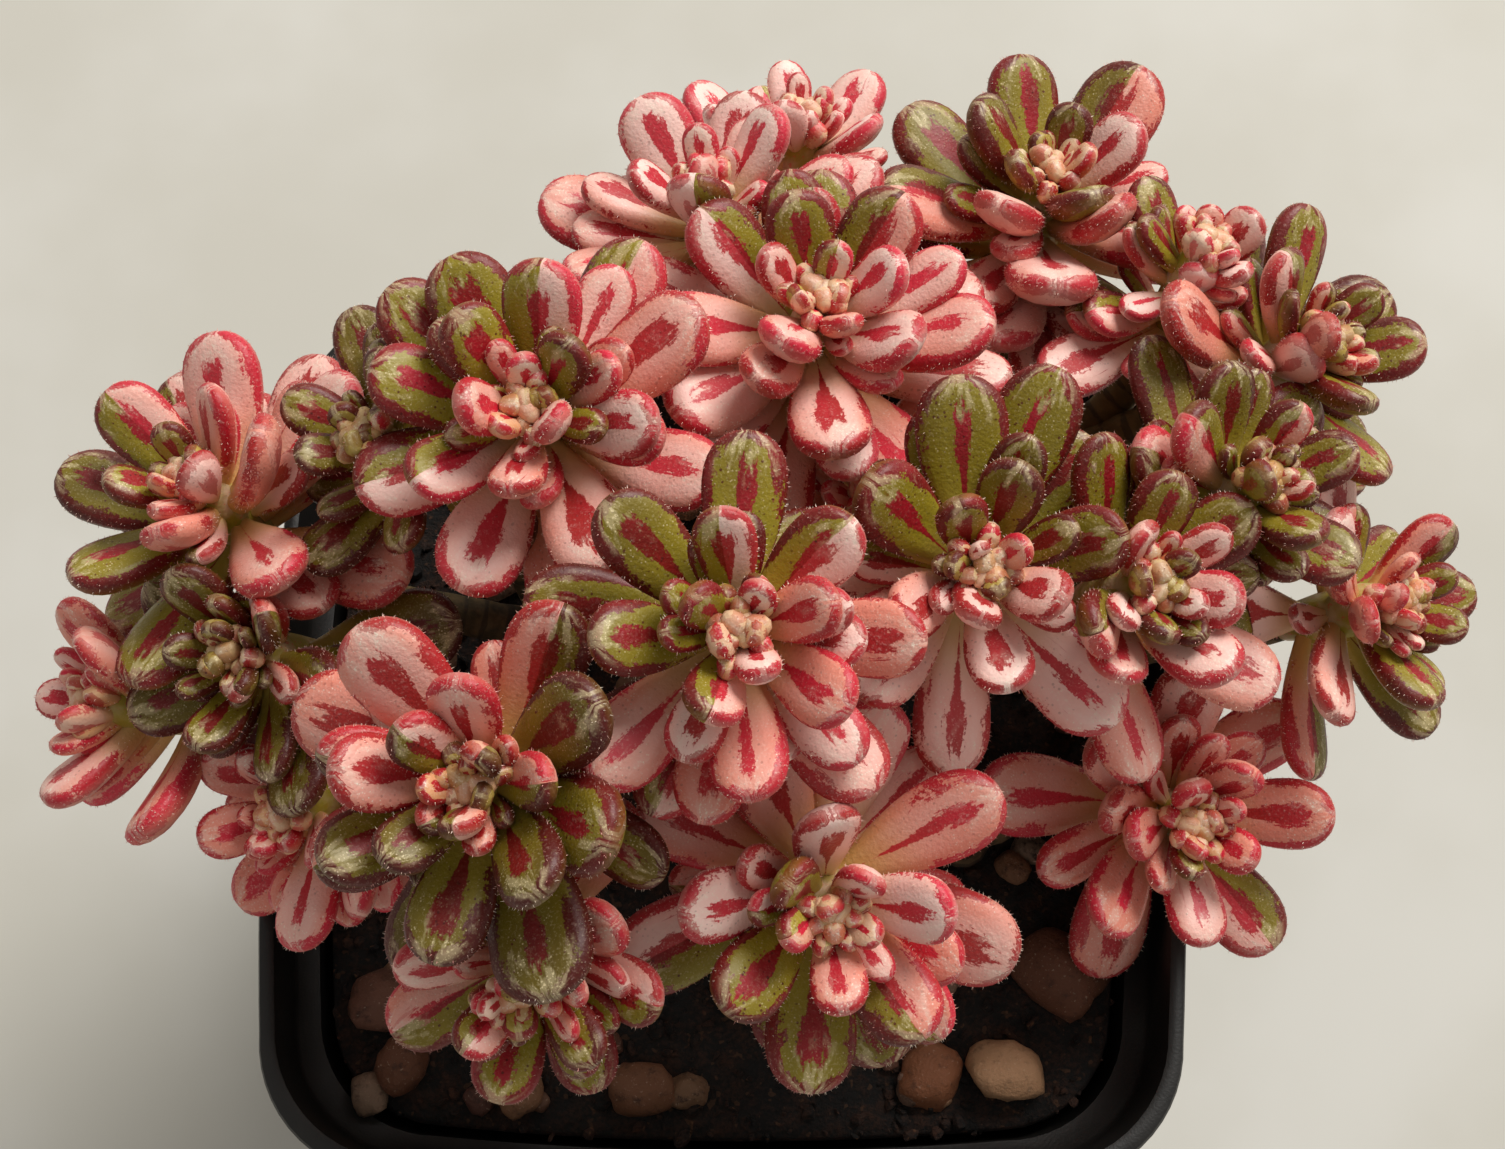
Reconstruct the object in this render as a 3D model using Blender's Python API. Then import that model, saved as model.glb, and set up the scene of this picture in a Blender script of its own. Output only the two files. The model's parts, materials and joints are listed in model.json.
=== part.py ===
"""A variegated aeonium in a small square plastic pot.

Metres, +Z up. The origin is the middle of the pot's underside and the front faces -Y.
Sizes below are in millimetres and angles in degrees, and MM turns sizes into metres.
"""

import math
import random

import bmesh
import bpy
from mathutils import Matrix, Vector
from mathutils.bvhtree import BVHTree

MM = 0.001
FIT_GAP = 0.3

# Pot
POT_HEIGHT = 72.0
RIM_HALF = 40.0
BASE_HALF = 28.0
LIP_HEIGHT = 7.0
LIP_STEP = 1.6
POT_WALL = 1.4
CORNER_SHARE = 0.29
SIDE_BOW = 1.1
CORNER_POINTS = 6
SIDE_POINTS = 2
SLOT_RING = 17.0
SLOT_LENGTH = 10.0
SLOT_WIDTH = 4.0
SLOTS = 4
SLOT_END_STEPS = 4

# Soil and its grit
SOIL_TOP = 64.0
SOIL_MOUND = 2.0
SOIL_RINGS = 3
SOIL_ROUGHNESS = 0.7
SOIL_CLEAR = 0.8
GRIT_STONES = 24
GRIT_APART = 6.0
GRIT_RADIUS = (1.6, 3.6)
GRIT_REACH = 30.0
GRIT_PROUD = 0.25
GRIT_SEED = 11

# Large stones with a place of their own: x, y and radius
GRIT_PLACED = (
    (24.5, -29.0, 3.2),
    (18.0, -29.5, 2.8),
    (29.3, -20.5, 3.8),
    (-3.5, 23.1, 2.6),
    (-29.0, -23.5, 3.1),
    (-27.5, -29.0, 2.5),
    (-17.5, -31.0, 2.3),
    (-7.0, -30.8, 2.7),
)

# Stems
STEM_SIDES = 5
TRUNK_RADIUS = 2.4
BRANCH_RADIUS = (1.9, 1.5)
STEM_DEPTH = 9.0
STEM_HOLE_GAP = 0.4
STEM_HOLE_SIDES = 8
STEM_HOLE_ABOVE = 12.0
BRANCH_RINGS = 4

# Heads and leaves
GOLDEN_ANGLE = 137.508
SHOOT_LENGTH = 12.0
LEAFY_LENGTH = 9.0
SHOOT_SIDES = 5
SHOOT_STATIONS = ((-SHOOT_LENGTH, 1.5), (-LEAFY_LENGTH * 0.7, 2.2), (-1.5, 2.0), (1.4, 0.8))
OPEN_OUTER = 104.0
OPEN_INNER = 32.0
LEAF_WIDTH = 0.49
LEAF_THICKNESS = 0.3
WIDEST_AT = 0.72
NECK_WIDTH = 0.24
NECK_THICKNESS = 0.72
UPPER_SHARE = 0.42
LEAF_BEND = 24.0
LEAF_CLEAR = 0.35
LEAF_ROOT_OUT = 0.9
SMALL_LEAF = 11.0
BEAD_LENGTH = 4.6
STATIONS = (0.0, 0.42, 0.76, 0.97)
SMALL_STATIONS = (0.0, 0.68, 0.96)

# Ways to move a leaf that would cross a neighbour, tried in order: turn, lift and share of its length
CLEARING = (
    (0, 0, 1.0),
    (0, 9, 1.0),
    (0, -9, 1.0),
    (9, 0, 1.0),
    (-9, 0, 1.0),
    (9, 9, 0.95),
    (-9, 9, 0.95),
    (0, 18, 0.95),
    (0, -18, 0.95),
    (16, -9, 0.9),
    (-16, -9, 0.9),
    (0, 28, 0.88),
    (16, 18, 0.85),
    (-16, 18, 0.85),
    (0, 0, 0.78),
    (0, 18, 0.75),
    (0, -18, 0.7),
    (12, 28, 0.7),
    (-12, 28, 0.7),
    (0, 38, 0.65),
    (0, 10, 0.55),
)

GREEN = (0.20, 0.24, 0.05)
PINK = (0.66, 0.20, 0.19)
WOOD = (0.18, 0.11, 0.07)
BLACK_PLASTIC = (0.012, 0.012, 0.013)
DARK_SOIL = (0.022, 0.015, 0.011)

# Each head: heart of its rosette, lean off the vertical, side it leans to (0 is +X, 90 is the back),
# turn of its first leaf, number of leaves, length of the longest one and share of pink in its colour.
HEADS = {
    "head_front_crown": ((1, -4, 115), 14, 280, 168, 18, 15.0, 0.5),
    "head_front_left": ((-18, -14, 109), 18, 235, 240, 20, 16.5, 0.45),
    "head_middle_left": ((-15, 15, 108), 10, 250, 281, 20, 16.5, 0.6),
    "head_middle_right": ((19, 3, 107), 16, 285, 265, 17, 15.5, 0.5),
    "head_back": ((7, 26, 103), 8, 60, 251, 20, 16.5, 0.8),
    "head_inner_right": ((32, 3, 104), 20, 335, 283, 17, 14.5, 0.4),
    "head_front_right": ((8, -21, 99), 28, 285, 292, 18, 16.5, 0.55),
    "head_front_low": ((-15, -27, 99), 34, 255, 292, 15, 13.0, 0.45),
    "head_right": ((41, 12, 102), 20, 350, 356, 16, 14.0, 0.15),
    "head_small_left": ((-28, 15, 101), 25, 190, 184, 12, 12.5, 0.1),
    "head_back_crown": ((-2, 38, 97), 20, 115, 103, 16, 16.0, 0.85),
    "head_right_back": ((48, 26, 96), 32, 0, 340, 16, 14.5, 0.15),
    "head_back_right": ((39, 34, 96), 20, 60, 146, 13, 11.5, 0.75),
    "head_far_back_right": ((27, 43, 91), 18, 80, 83, 17, 17.5, 0.4),
    "head_left": ((-43, 14, 93), 26, 155, 200, 18, 17.0, 0.4),
    "head_left_dark": ((-39, 0, 92), 28, 210, 236, 14, 14.0, 0.1),
    "head_hollow": ((12, 14, 92), 5, 300, 94, 13, 13.0, 0.85),
    "head_low_right": ((38, -11, 84), 26, 300, 257, 15, 15.5, 0.75),
    "head_far_right": ((54, 6, 90), 33, 350, 263, 15, 14.0, 0.5),
    "head_low_left": ((-35, -11, 85), 35, 215, 175, 14, 14.0, 0.95),
    "head_far_back": ((6, 49, 88), 34, 90, 90, 12, 14.0, 0.9),
    "head_far_left": ((-51, -2, 84), 58, 185, 157, 11, 15.0, 0.95),
}

# Each stem: where it stands in the soil, the height of its fork and the heads that it carries
STEMS = {
    "stem_left": ((-15, 8), 70, ("head_middle_left", "head_small_left", "head_left")),
    "stem_front_left": ((-13, -9), 74, ("head_front_left", "head_front_low")),
    "stem_centre": ((2, -3), 74, ("head_front_crown", "head_front_right")),
    "stem_back": ((3, 21), 70, ("head_back", "head_back_crown", "head_far_back")),
    "stem_back_right": ((20, 19), 70, ("head_far_back_right", "head_back_right", "head_right_back")),
    "stem_right": ((21, 4), 71, ("head_middle_right", "head_inner_right", "head_right", "head_far_right")),
    "stem_low_right": ((21, -9), 68, ("head_low_right",)),
    "stem_low_left": ((-22, -2), 69, ("head_left_dark", "head_far_left", "head_low_left")),
    "stem_hollow": ((10, 10), 70, ("head_hollow",)),
}


def clear_scene():
    for obj in list(bpy.data.objects):
        bpy.data.objects.remove(obj, do_unlink=True)


def material(name, colour, roughness):
    made = bpy.data.materials.new(name)
    made.use_nodes = True
    shader = made.node_tree.nodes["Principled BSDF"]
    shader.inputs["Base Color"].default_value = (*colour, 1.0)
    shader.inputs["Roughness"].default_value = roughness
    shader.inputs["Metallic"].default_value = 0.0
    return made


def mix(a, b, share):
    return tuple(x + (y - x) * share for x, y in zip(a, b))


def solid_of_rings(rings, split=False):
    """Points and faces of a closed body through rings of equally many points, capped at both ends."""
    sides = len(rings[0])
    points = [point for ring in rings for point in ring]
    faces = []
    for low in range(0, (len(rings) - 1) * sides, sides):
        high = low + sides
        for i in range(sides):
            j = (i + 1) % sides
            if split:
                faces += [(low + i, low + j, high + j), (low + i, high + j, high + i)]
            else:
                faces.append((low + i, low + j, high + j, high + i))
    faces.append(tuple(range(sides))[::-1])
    faces.append(tuple(range(len(points) - sides, len(points))))
    return points, faces


def object_from(name, points, faces):
    """A mesh object in metres from points in millimetres."""
    mesh = bpy.data.meshes.new(name)
    mesh.from_pydata([Vector(p) * MM for p in points], [], faces)
    mesh.validate()
    made = bpy.data.objects.new(name, mesh)
    bpy.context.scene.collection.objects.link(made)
    return made


def apply_boolean(target, helpers, operation):
    """Joins the helpers to the target, or cuts them out of it, and removes them."""
    group = bpy.data.collections.new("helpers")
    for helper in helpers:
        group.objects.link(helper)
        helper.hide_render = True
        helper.display_type = "WIRE"
    modifier = target.modifiers.new("Boolean", "BOOLEAN")
    modifier.operation = operation
    modifier.operand_type = "COLLECTION"
    modifier.collection = group
    modifier.solver = "EXACT"
    graph = bpy.context.evaluated_depsgraph_get()
    finished = bpy.data.meshes.new_from_object(target.evaluated_get(graph))
    target.modifiers.clear()
    target.data = finished
    for helper in list(helpers):
        bpy.data.objects.remove(helper, do_unlink=True)
    bpy.data.collections.remove(group)


def finish(obj, paint, smooth_angle):
    obj.data.materials.clear()
    obj.data.materials.append(paint)
    obj.data.shade_smooth()
    obj.data.set_sharp_from_angle(angle=math.radians(smooth_angle))


def square_ring(half, height):
    """A rounded square with slightly bowed sides, counter-clockwise from the +X side."""
    straight = half - SIDE_BOW
    corner = CORNER_SHARE * half
    reach = straight - corner
    ring = []
    for quarter in range(4):
        turn = Matrix.Rotation(math.radians(90 * quarter), 3, "Z")
        for i in range(SIDE_POINTS):
            share = 2 * (i + 0.5) / SIDE_POINTS - 1
            out = straight + SIDE_BOW * (1 - share * share)
            ring.append(turn @ Vector((out, share * reach, height)))
        for i in range(CORNER_POINTS):
            angle = math.radians(90 * i / (CORNER_POINTS - 1))
            point = Vector((reach + corner * math.cos(angle), reach + corner * math.sin(angle), height))
            ring.append(turn @ point)
    return ring


def outer_half(height):
    """Half the width of the pot's tapered body at a height."""
    return BASE_HALF + (RIM_HALF - LIP_STEP - BASE_HALF) * height / POT_HEIGHT


def make_pot():
    lip = POT_HEIGHT - LIP_HEIGHT
    profile = (
        (BASE_HALF - 1.0, 0.0),
        (outer_half(1.0), 1.0),
        (outer_half(lip), lip),
        (RIM_HALF - 0.6, lip + 0.8),
        (RIM_HALF, POT_HEIGHT - 0.5),
        (RIM_HALF - 0.5, POT_HEIGHT),
        (RIM_HALF - POT_WALL + 0.3, POT_HEIGHT),
        (RIM_HALF - POT_WALL, POT_HEIGHT - 0.5),
        (RIM_HALF - POT_WALL - 0.6, lip + 0.8),
        (outer_half(lip) - POT_WALL, lip - 0.6),
        (outer_half(POT_WALL) - POT_WALL, POT_WALL),
    )
    pot = object_from("pot", *solid_of_rings([square_ring(half, z) for half, z in profile]))
    slots = []
    for i in range(SLOTS):
        turn = Matrix.Rotation(math.radians(45 + 360 * i / SLOTS), 3, "Z")
        rings = [[turn @ point for point in slot_ring(z)] for z in (-POT_WALL, 3 * POT_WALL)]
        slots.append(object_from("slot", *solid_of_rings(rings)))
    apply_boolean(pot, slots, "DIFFERENCE")
    finish(pot, material("black_plastic", BLACK_PLASTIC, 0.55), 35)
    return pot


def slot_ring(height):
    """The outline of one drainage slot, out from the middle along +X, with round ends."""
    half = SLOT_LENGTH / 2 - SLOT_WIDTH / 2
    ring = []
    for end, start in ((1, -90), (-1, 90)):
        for i in range(SLOT_END_STEPS + 1):
            angle = math.radians(start + 180 * i / SLOT_END_STEPS)
            x = SLOT_RING + end * half + SLOT_WIDTH / 2 * math.cos(angle)
            ring.append(Vector((x, SLOT_WIDTH / 2 * math.sin(angle), height)))
    return ring


def soil_half(height):
    return outer_half(height) - POT_WALL - SOIL_CLEAR


def make_soil():
    """The soil body with a rough top, its grit fused in and a plain hole for each stem."""
    draw = random.Random(GRIT_SEED)
    floor = POT_WALL + FIT_GAP
    rings = [square_ring(soil_half(floor), floor), square_ring(soil_half(SOIL_TOP), SOIL_TOP - 0.8)]
    for level in range(SOIL_RINGS):
        share = 1 - (level + 0.35) / (SOIL_RINGS + 0.2)
        ring = square_ring(soil_half(SOIL_TOP) * share, 0)
        for point in ring:
            rough = draw.uniform(-SOIL_ROUGHNESS, SOIL_ROUGHNESS) * (0.3 if level == 0 else 1)
            point.z = SOIL_TOP + SOIL_MOUND * (1 - share * share) + rough
        rings.append(ring)
    soil = object_from("soil", *solid_of_rings(rings, split=True))
    stones = [grit_stone(draw, *place) for place in grit_places(draw)]
    apply_boolean(soil, stones, "UNION")
    holes = []
    up = Vector((0, 0, 1))
    for place, _, _ in STEMS.values():
        ends = [Vector((*place, z)) for z in (SOIL_TOP - STEM_DEPTH - FIT_GAP, SOIL_TOP + STEM_HOLE_ABOVE)]
        rings = [round_ring(end, up, TRUNK_RADIUS + STEM_HOLE_GAP, STEM_HOLE_SIDES) for end in ends]
        holes.append(object_from("hole", *solid_of_rings(rings)))
    apply_boolean(soil, holes, "DIFFERENCE")
    finish(soil, material("dark_soil", DARK_SOIL, 0.95), 30)
    return soil


def grit_places(draw):
    """Each stone's x, y and radius: the placed ones, then the rest spread evenly by a sunflower spiral."""
    places = list(GRIT_PLACED)
    for number in range(GRIT_STONES):
        radius = draw.uniform(*GRIT_RADIUS)
        around = math.radians(GOLDEN_ANGLE * number + 20)
        out = GRIT_REACH * math.sqrt((number + 0.8) / GRIT_STONES) * (1 - 0.1 * math.cos(4 * around))
        here = Vector((out * math.cos(around), out * math.sin(around)))
        taken = [stem[0] for stem in STEMS.values()] + [place[:2] for place in places]
        if all((here - Vector(other)).length > GRIT_APART for other in taken):
            places.append((*here, radius))
    return places


def grit_stone(draw, x, y, radius):
    """One angular stone, half sunk in the soil."""
    turn = Matrix.Rotation(draw.uniform(0, math.tau), 3, "Z")
    turn = turn @ Matrix.Rotation(draw.uniform(-0.5, 0.5), 3, "X")
    knocks = [draw.uniform(0.82, 1.1) for _ in range(12)]
    share = max(abs(x), abs(y)) / soil_half(SOIL_TOP)
    place = Vector((x, y, SOIL_TOP + SOIL_MOUND * (1 - share * share) + GRIT_PROUD * radius))
    shape = bmesh.new()
    bmesh.ops.create_icosphere(shape, subdivisions=1, radius=radius)
    points = []
    for vertex, knock in zip(shape.verts, knocks):
        x, y, z = vertex.co
        points.append(turn @ Vector((x * 1.2, y * 0.9, z * 0.75)) * knock + place)
    faces = [[vertex.index for vertex in face.verts] for face in shape.faces]
    shape.free()
    return object_from("grit", points, faces)


def round_ring(middle, along, radius, sides):
    """A ring of points round an axis, counter-clockwise seen from the axis' far end."""
    side = along.orthogonal().normalized()
    up = along.cross(side).normalized()
    ring = []
    for i in range(sides):
        angle = math.tau * i / sides
        ring.append(middle + radius * (math.cos(angle) * side + math.sin(angle) * up))
    return ring


def tube(path, radii, sides, end=None):
    """Rings along a path, each turned from the one before so that the tube has no twist."""
    side = (path[1] - path[0]).orthogonal().normalized()
    rings = []
    for i, middle in enumerate(path):
        along = (path[min(i + 1, len(path) - 1)] - path[max(i - 1, 0)]).normalized()
        if end and i == len(path) - 1:
            along = end
        side = (side - along * side.dot(along)).normalized()
        up = along.cross(side)
        ring = []
        for k in range(sides):
            angle = math.tau * k / sides
            ring.append(middle + radii[i] * (math.cos(angle) * side + math.sin(angle) * up))
        rings.append(ring)
    return solid_of_rings(rings)


def bezier(a, b, c, d, count):
    points = []
    for i in range(count):
        t = i / (count - 1)
        s = 1 - t
        points.append(a * s**3 + b * 3 * s * s * t + c * 3 * s * t * t + d * t**3)
    return points


def head_axis(lean, toward):
    lean, toward = math.radians(lean), math.radians(toward)
    return Vector((math.sin(lean) * math.cos(toward), math.sin(lean) * math.sin(toward), math.cos(lean)))


def branch_path(place, fork, head):
    """The middle line of one branch, from inside the trunk's top to just under a head's shoot."""
    heart, lean, toward = HEADS[head][:3]
    axis = head_axis(lean, toward)
    start = Vector((*place, fork - 1.5))
    end = Vector(heart) - axis * (SHOOT_LENGTH + FIT_GAP)
    pull = (end - start).length * 0.4
    return bezier(start, start + Vector((0, 0, 1)) * pull * 0.7, end - axis * pull, end, BRANCH_RINGS)


def stem_shapes(name):
    """The trunk and the branches of one stem, each as points and faces."""
    place, fork, heads = STEMS[name]
    foot = SOIL_TOP - STEM_DEPTH
    path = [Vector((*place, z)) for z in (foot, SOIL_TOP, fork - 1, fork + 0.8)]
    radii = (TRUNK_RADIUS * 0.9, TRUNK_RADIUS, TRUNK_RADIUS, TRUNK_RADIUS * 0.75)
    shapes = [tube(path, radii, STEM_SIDES)]
    thick, thin = BRANCH_RADIUS
    for head in heads:
        route = branch_path(place, fork, head)
        radii = [thick + (thin - thick) * i / (len(route) - 1) for i in range(len(route))]
        shapes.append(tube(route, radii, STEM_SIDES, end=head_axis(*HEADS[head][1:3])))
    return shapes


def make_stem(name):
    parts = [object_from(name, *shape) for shape in stem_shapes(name)]
    apply_boolean(parts[0], parts[1:], "UNION")
    parts[0].name = name
    finish(parts[0], material(name, WOOD, 0.8), 50)


def leaf_width(s):
    """Share of a leaf's full width at share s of its length: a narrow neck, then a round spoon."""
    if s < WIDEST_AT:
        return NECK_WIDTH + (1 - NECK_WIDTH) * math.sin(math.pi / 2 * s / WIDEST_AT) ** 1.4
    return math.sqrt(max(0.0, 1 - ((s - WIDEST_AT) / (1 - WIDEST_AT)) ** 2))


def leaf_thickness(s):
    if s < WIDEST_AT:
        return NECK_THICKNESS + (1 - NECK_THICKNESS) * math.sin(math.pi / 2 * s / WIDEST_AT)
    return leaf_width(s) ** 0.8


def leaf_frame(axis, spin, opening, roll):
    """A leaf's direction, its upper side's normal and its width's direction."""
    right = Vector((1, 0, 0))
    side = (right - axis * right.dot(axis)).normalized()
    out = Matrix.Rotation(math.radians(spin), 3, axis) @ side
    opening = math.radians(opening)
    along = axis * math.cos(opening) + out * math.sin(opening)
    normal = axis * math.sin(opening) - out * math.cos(opening)
    normal = Matrix.Rotation(math.radians(roll), 3, along) @ normal
    return along, normal, along.cross(normal)


def leaf_rings(root, frame, length, width, thickness, bend, stations, grow=0.0):
    """Four-sided rings along a leaf that arches towards its upper side."""
    along, normal, across = frame
    arch = math.radians(bend)
    rings = []
    for s in stations:
        angle = arch * s
        path = along * (math.sin(angle) / arch) + normal * ((1 - math.cos(angle)) / arch)
        middle = root + path * length
        up = normal * math.cos(angle) - along * math.sin(angle)
        aside = across * (width / 2 * leaf_width(s) + grow)
        deep = up * (thickness * leaf_thickness(s) + 2 * grow)
        top, bottom = middle + deep * UPPER_SHARE, middle - deep * (1 - UPPER_SHARE)
        rings.append([middle - aside, top, middle + aside, bottom])
    return rings


def leaf_plan(name):
    """Each leaf of a head before it is moved clear: axis, foot, turn, opening, roll, sizes and bend."""
    heart, lean, toward, spin, count, reach, _ = HEADS[name]
    draw = random.Random(name)
    axis = head_axis(lean, toward)
    for i in range(count):
        t = i / (count - 1)
        turn = spin + GOLDEN_ANGLE * i + draw.uniform(-7, 7)
        opening = OPEN_OUTER + (OPEN_INNER - OPEN_OUTER) * t**0.85 + draw.uniform(-6, 6)
        length = reach * (1 - 0.76 * t**1.9) * draw.uniform(0.9, 1.05)
        plump = 1 + 0.35 * t
        width = length * LEAF_WIDTH * (1 + 0.15 * t) * draw.uniform(0.93, 1.07)
        thickness = width * LEAF_THICKNESS * plump
        height = -LEAFY_LENGTH + (LEAFY_LENGTH - 0.4) * t
        middle = Vector(heart) + axis * height
        bend = LEAF_BEND * draw.uniform(0.5, 1.4)
        roll = draw.uniform(-12, 12)
        yield axis, middle, turn, opening, roll, length, width, thickness, bend


def shoot_shape(name):
    """The green shoot of a head, from its cut lower face to its growing tip."""
    heart, lean, toward = HEADS[name][:3]
    axis = head_axis(lean, toward)
    path = [Vector(heart) + axis * height for height, _ in SHOOT_STATIONS]
    return tube(path, [radius for _, radius in SHOOT_STATIONS], SHOOT_SIDES)


class Obstacles:
    """Everything already placed, each as a search tree with its box, to test a new leaf against."""

    def __init__(self):
        self.placed = []

    def add(self, points, faces, owner):
        tree = BVHTree.FromPolygons(points, faces)
        low = [min(p[k] for p in points) for k in range(3)]
        high = [max(p[k] for p in points) for k in range(3)]
        self.placed.append((tree, low, high, owner))

    def touched(self, points, faces, skip=None):
        low = [min(p[k] for p in points) for k in range(3)]
        high = [max(p[k] for p in points) for k in range(3)]
        tree = None
        for other, other_low, other_high, owner in self.placed:
            if owner == skip or any(low[k] > other_high[k] or high[k] < other_low[k] for k in range(3)):
                continue
            tree = tree or BVHTree.FromPolygons(points, faces)
            if tree.overlap(other):
                return True
        return False


def place_leaves(name, obstacles):
    """The leaves of one head, each moved, lifted or shortened until it clears all that stands already."""
    blades = Obstacles()
    leaves = []
    for axis, middle, turn, opening, roll, length, width, thickness, bend in leaf_plan(name):
        stations = STATIONS if length > SMALL_LEAF else SMALL_STATIONS
        if length < BEAD_LENGTH:
            continue
        for aside, lift, share in CLEARING:
            frame = leaf_frame(axis, turn + aside, opening - lift, roll)
            root = middle + frame[0] * LEAF_ROOT_OUT * math.sin(math.radians(opening))
            size = (length * share, width * share**0.6, thickness * share**0.6, bend)
            whole = solid_of_rings(leaf_rings(root, frame, *size, stations, LEAF_CLEAR), split=True)
            blade = solid_of_rings(leaf_rings(root, frame, *size, stations[1:]), split=True)
            if not obstacles.touched(*whole, skip=name) and not blades.touched(*blade):
                blades.add(*blade, name)
                leaves.append(solid_of_rings(leaf_rings(root, frame, *size, stations), split=True))
                obstacles.add(*leaves[-1], name)
                break
    return leaves


def make_head(name, obstacles):
    parts = [object_from("leaf", *leaf) for leaf in place_leaves(name, obstacles)]
    shoot = object_from(name, *shoot_shape(name))
    apply_boolean(shoot, parts, "UNION")
    shoot.name = name
    finish(shoot, material(name, mix(GREEN, PINK, HEADS[name][-1]), 0.4), 50)
    return len(parts)


def main():
    clear_scene()
    obstacles = Obstacles()
    for body in (make_pot(), make_soil()):
        points = [vertex.co / MM for vertex in body.data.vertices]
        obstacles.add(points, [tuple(face.vertices) for face in body.data.polygons], body.name)
    for name in STEMS:
        for shape in stem_shapes(name):
            obstacles.add(*shape, name)
        make_stem(name)
    for name in HEADS:
        obstacles.add(*shoot_shape(name), name)
    for name in HEADS:
        made = make_head(name, obstacles)
        print(f"{name}: {made} of {HEADS[name][4]} leaves")


main()
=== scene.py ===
"""The looks of a potted variegated aeonium, laid out as a Blender add-on and run as a script.

Sizes in the plant's own rules are in millimetres and angles in degrees, as in its CAD source, and
MM turns them into metres. Meshes are in metres in the CAD frame: +Z up, front towards -Y.
"""

import json
import math
import random

import bmesh
import bpy
import numpy as np
from bpy.props import FloatProperty, FloatVectorProperty, IntProperty, PointerProperty
from mathutils import Matrix, Vector, noise
from mathutils.bvhtree import BVHTree

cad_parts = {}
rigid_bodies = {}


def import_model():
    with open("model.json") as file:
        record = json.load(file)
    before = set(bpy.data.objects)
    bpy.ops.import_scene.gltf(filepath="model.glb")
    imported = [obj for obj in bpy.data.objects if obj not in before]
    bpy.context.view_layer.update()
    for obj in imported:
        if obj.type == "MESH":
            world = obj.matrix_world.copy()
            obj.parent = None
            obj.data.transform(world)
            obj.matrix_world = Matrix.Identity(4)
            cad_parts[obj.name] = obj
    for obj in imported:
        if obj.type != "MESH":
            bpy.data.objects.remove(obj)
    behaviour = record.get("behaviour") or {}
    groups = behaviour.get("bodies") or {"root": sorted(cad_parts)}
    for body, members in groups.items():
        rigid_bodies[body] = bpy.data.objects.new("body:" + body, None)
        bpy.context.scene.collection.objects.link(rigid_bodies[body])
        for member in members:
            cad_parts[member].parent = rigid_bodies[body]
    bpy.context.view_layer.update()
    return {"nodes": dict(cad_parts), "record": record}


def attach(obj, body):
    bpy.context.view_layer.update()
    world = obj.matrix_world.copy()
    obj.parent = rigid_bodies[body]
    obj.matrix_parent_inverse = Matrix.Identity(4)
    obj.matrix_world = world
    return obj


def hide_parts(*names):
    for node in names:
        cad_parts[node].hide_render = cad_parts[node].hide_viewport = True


bl_info = {
    "name": "Potted aeonium",
    "version": (1, 0, 0),
    "blender": (4, 5, 0),
    "location": "View3D > Sidebar > Aeonium",
    "description": "Dresses the potted aeonium with its leaves, stems, soil, grit and pot",
    "category": "Object",
}

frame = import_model()
SLOT_OF = {row["node"]: row["material_slot"] for row in frame["record"]["subparts"]}
MM = 0.001

# The pot's and the soil's rules, as in the CAD source
POT_HEIGHT = 72.0
RIM_HALF = 40.0
BASE_HALF = 28.0
LIP_HEIGHT = 7.0
LIP_STEP = 1.6
POT_WALL = 1.4
CORNER_SHARE = 0.29
SIDE_BOW = 1.1
SLOT_RING = 17.0
SLOT_LENGTH = 10.0
SLOT_WIDTH = 4.0
SLOTS = 4
SOIL_TOP = 64.0
SOIL_MOUND = 2.0
SOIL_CLEAR = 0.8
FIT_GAP = 0.3

# The grit's rules, as in the CAD source, whose rough soil takes the first SOIL_DRAWS draws.
# Each placed stone has its x, y and radius.
GRIT_STONES = 24
GRIT_APART = 6.0
GRIT_RADIUS = (1.6, 3.6)
GRIT_REACH = 30.0
GRIT_PROUD = 0.25
GRIT_SEED = 11
SOIL_DRAWS = 96
GRIT_PLACED = (
    (24.5, -29.0, 3.2),
    (18.0, -29.5, 2.8),
    (29.3, -20.5, 3.8),
    (-3.5, 23.1, 2.6),
    (-29.0, -23.5, 3.1),
    (-27.5, -29.0, 2.5),
    (-17.5, -31.0, 2.3),
    (-7.0, -30.8, 2.7),
)

# The stems' rules, as in the CAD source
STEM_SIDES = 5
TRUNK_RADIUS = 2.4
BRANCH_RADIUS = (1.9, 1.5)
STEM_DEPTH = 9.0
BRANCH_RINGS = 4

# The rules of the heads and their leaves, as in the CAD source
GOLDEN_ANGLE = 137.508
SHOOT_LENGTH = 12.0
LEAFY_LENGTH = 9.0
SHOOT_STATIONS = ((-SHOOT_LENGTH, 1.5), (-LEAFY_LENGTH * 0.7, 2.2), (-1.5, 2.0), (1.4, 0.8))
OPEN_OUTER = 104.0
OPEN_INNER = 32.0
LEAF_WIDTH = 0.49
LEAF_THICKNESS = 0.3
WIDEST_AT = 0.72
NECK_WIDTH = 0.24
NECK_THICKNESS = 0.72
UPPER_SHARE = 0.42
LEAF_BEND = 24.0
LEAF_CLEAR = 0.35
LEAF_ROOT_OUT = 0.9
SMALL_LEAF = 11.0
BEAD_LENGTH = 4.6
STATIONS = (0.0, 0.42, 0.76, 0.97)
SMALL_STATIONS = (0.0, 0.68, 0.96)
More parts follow.
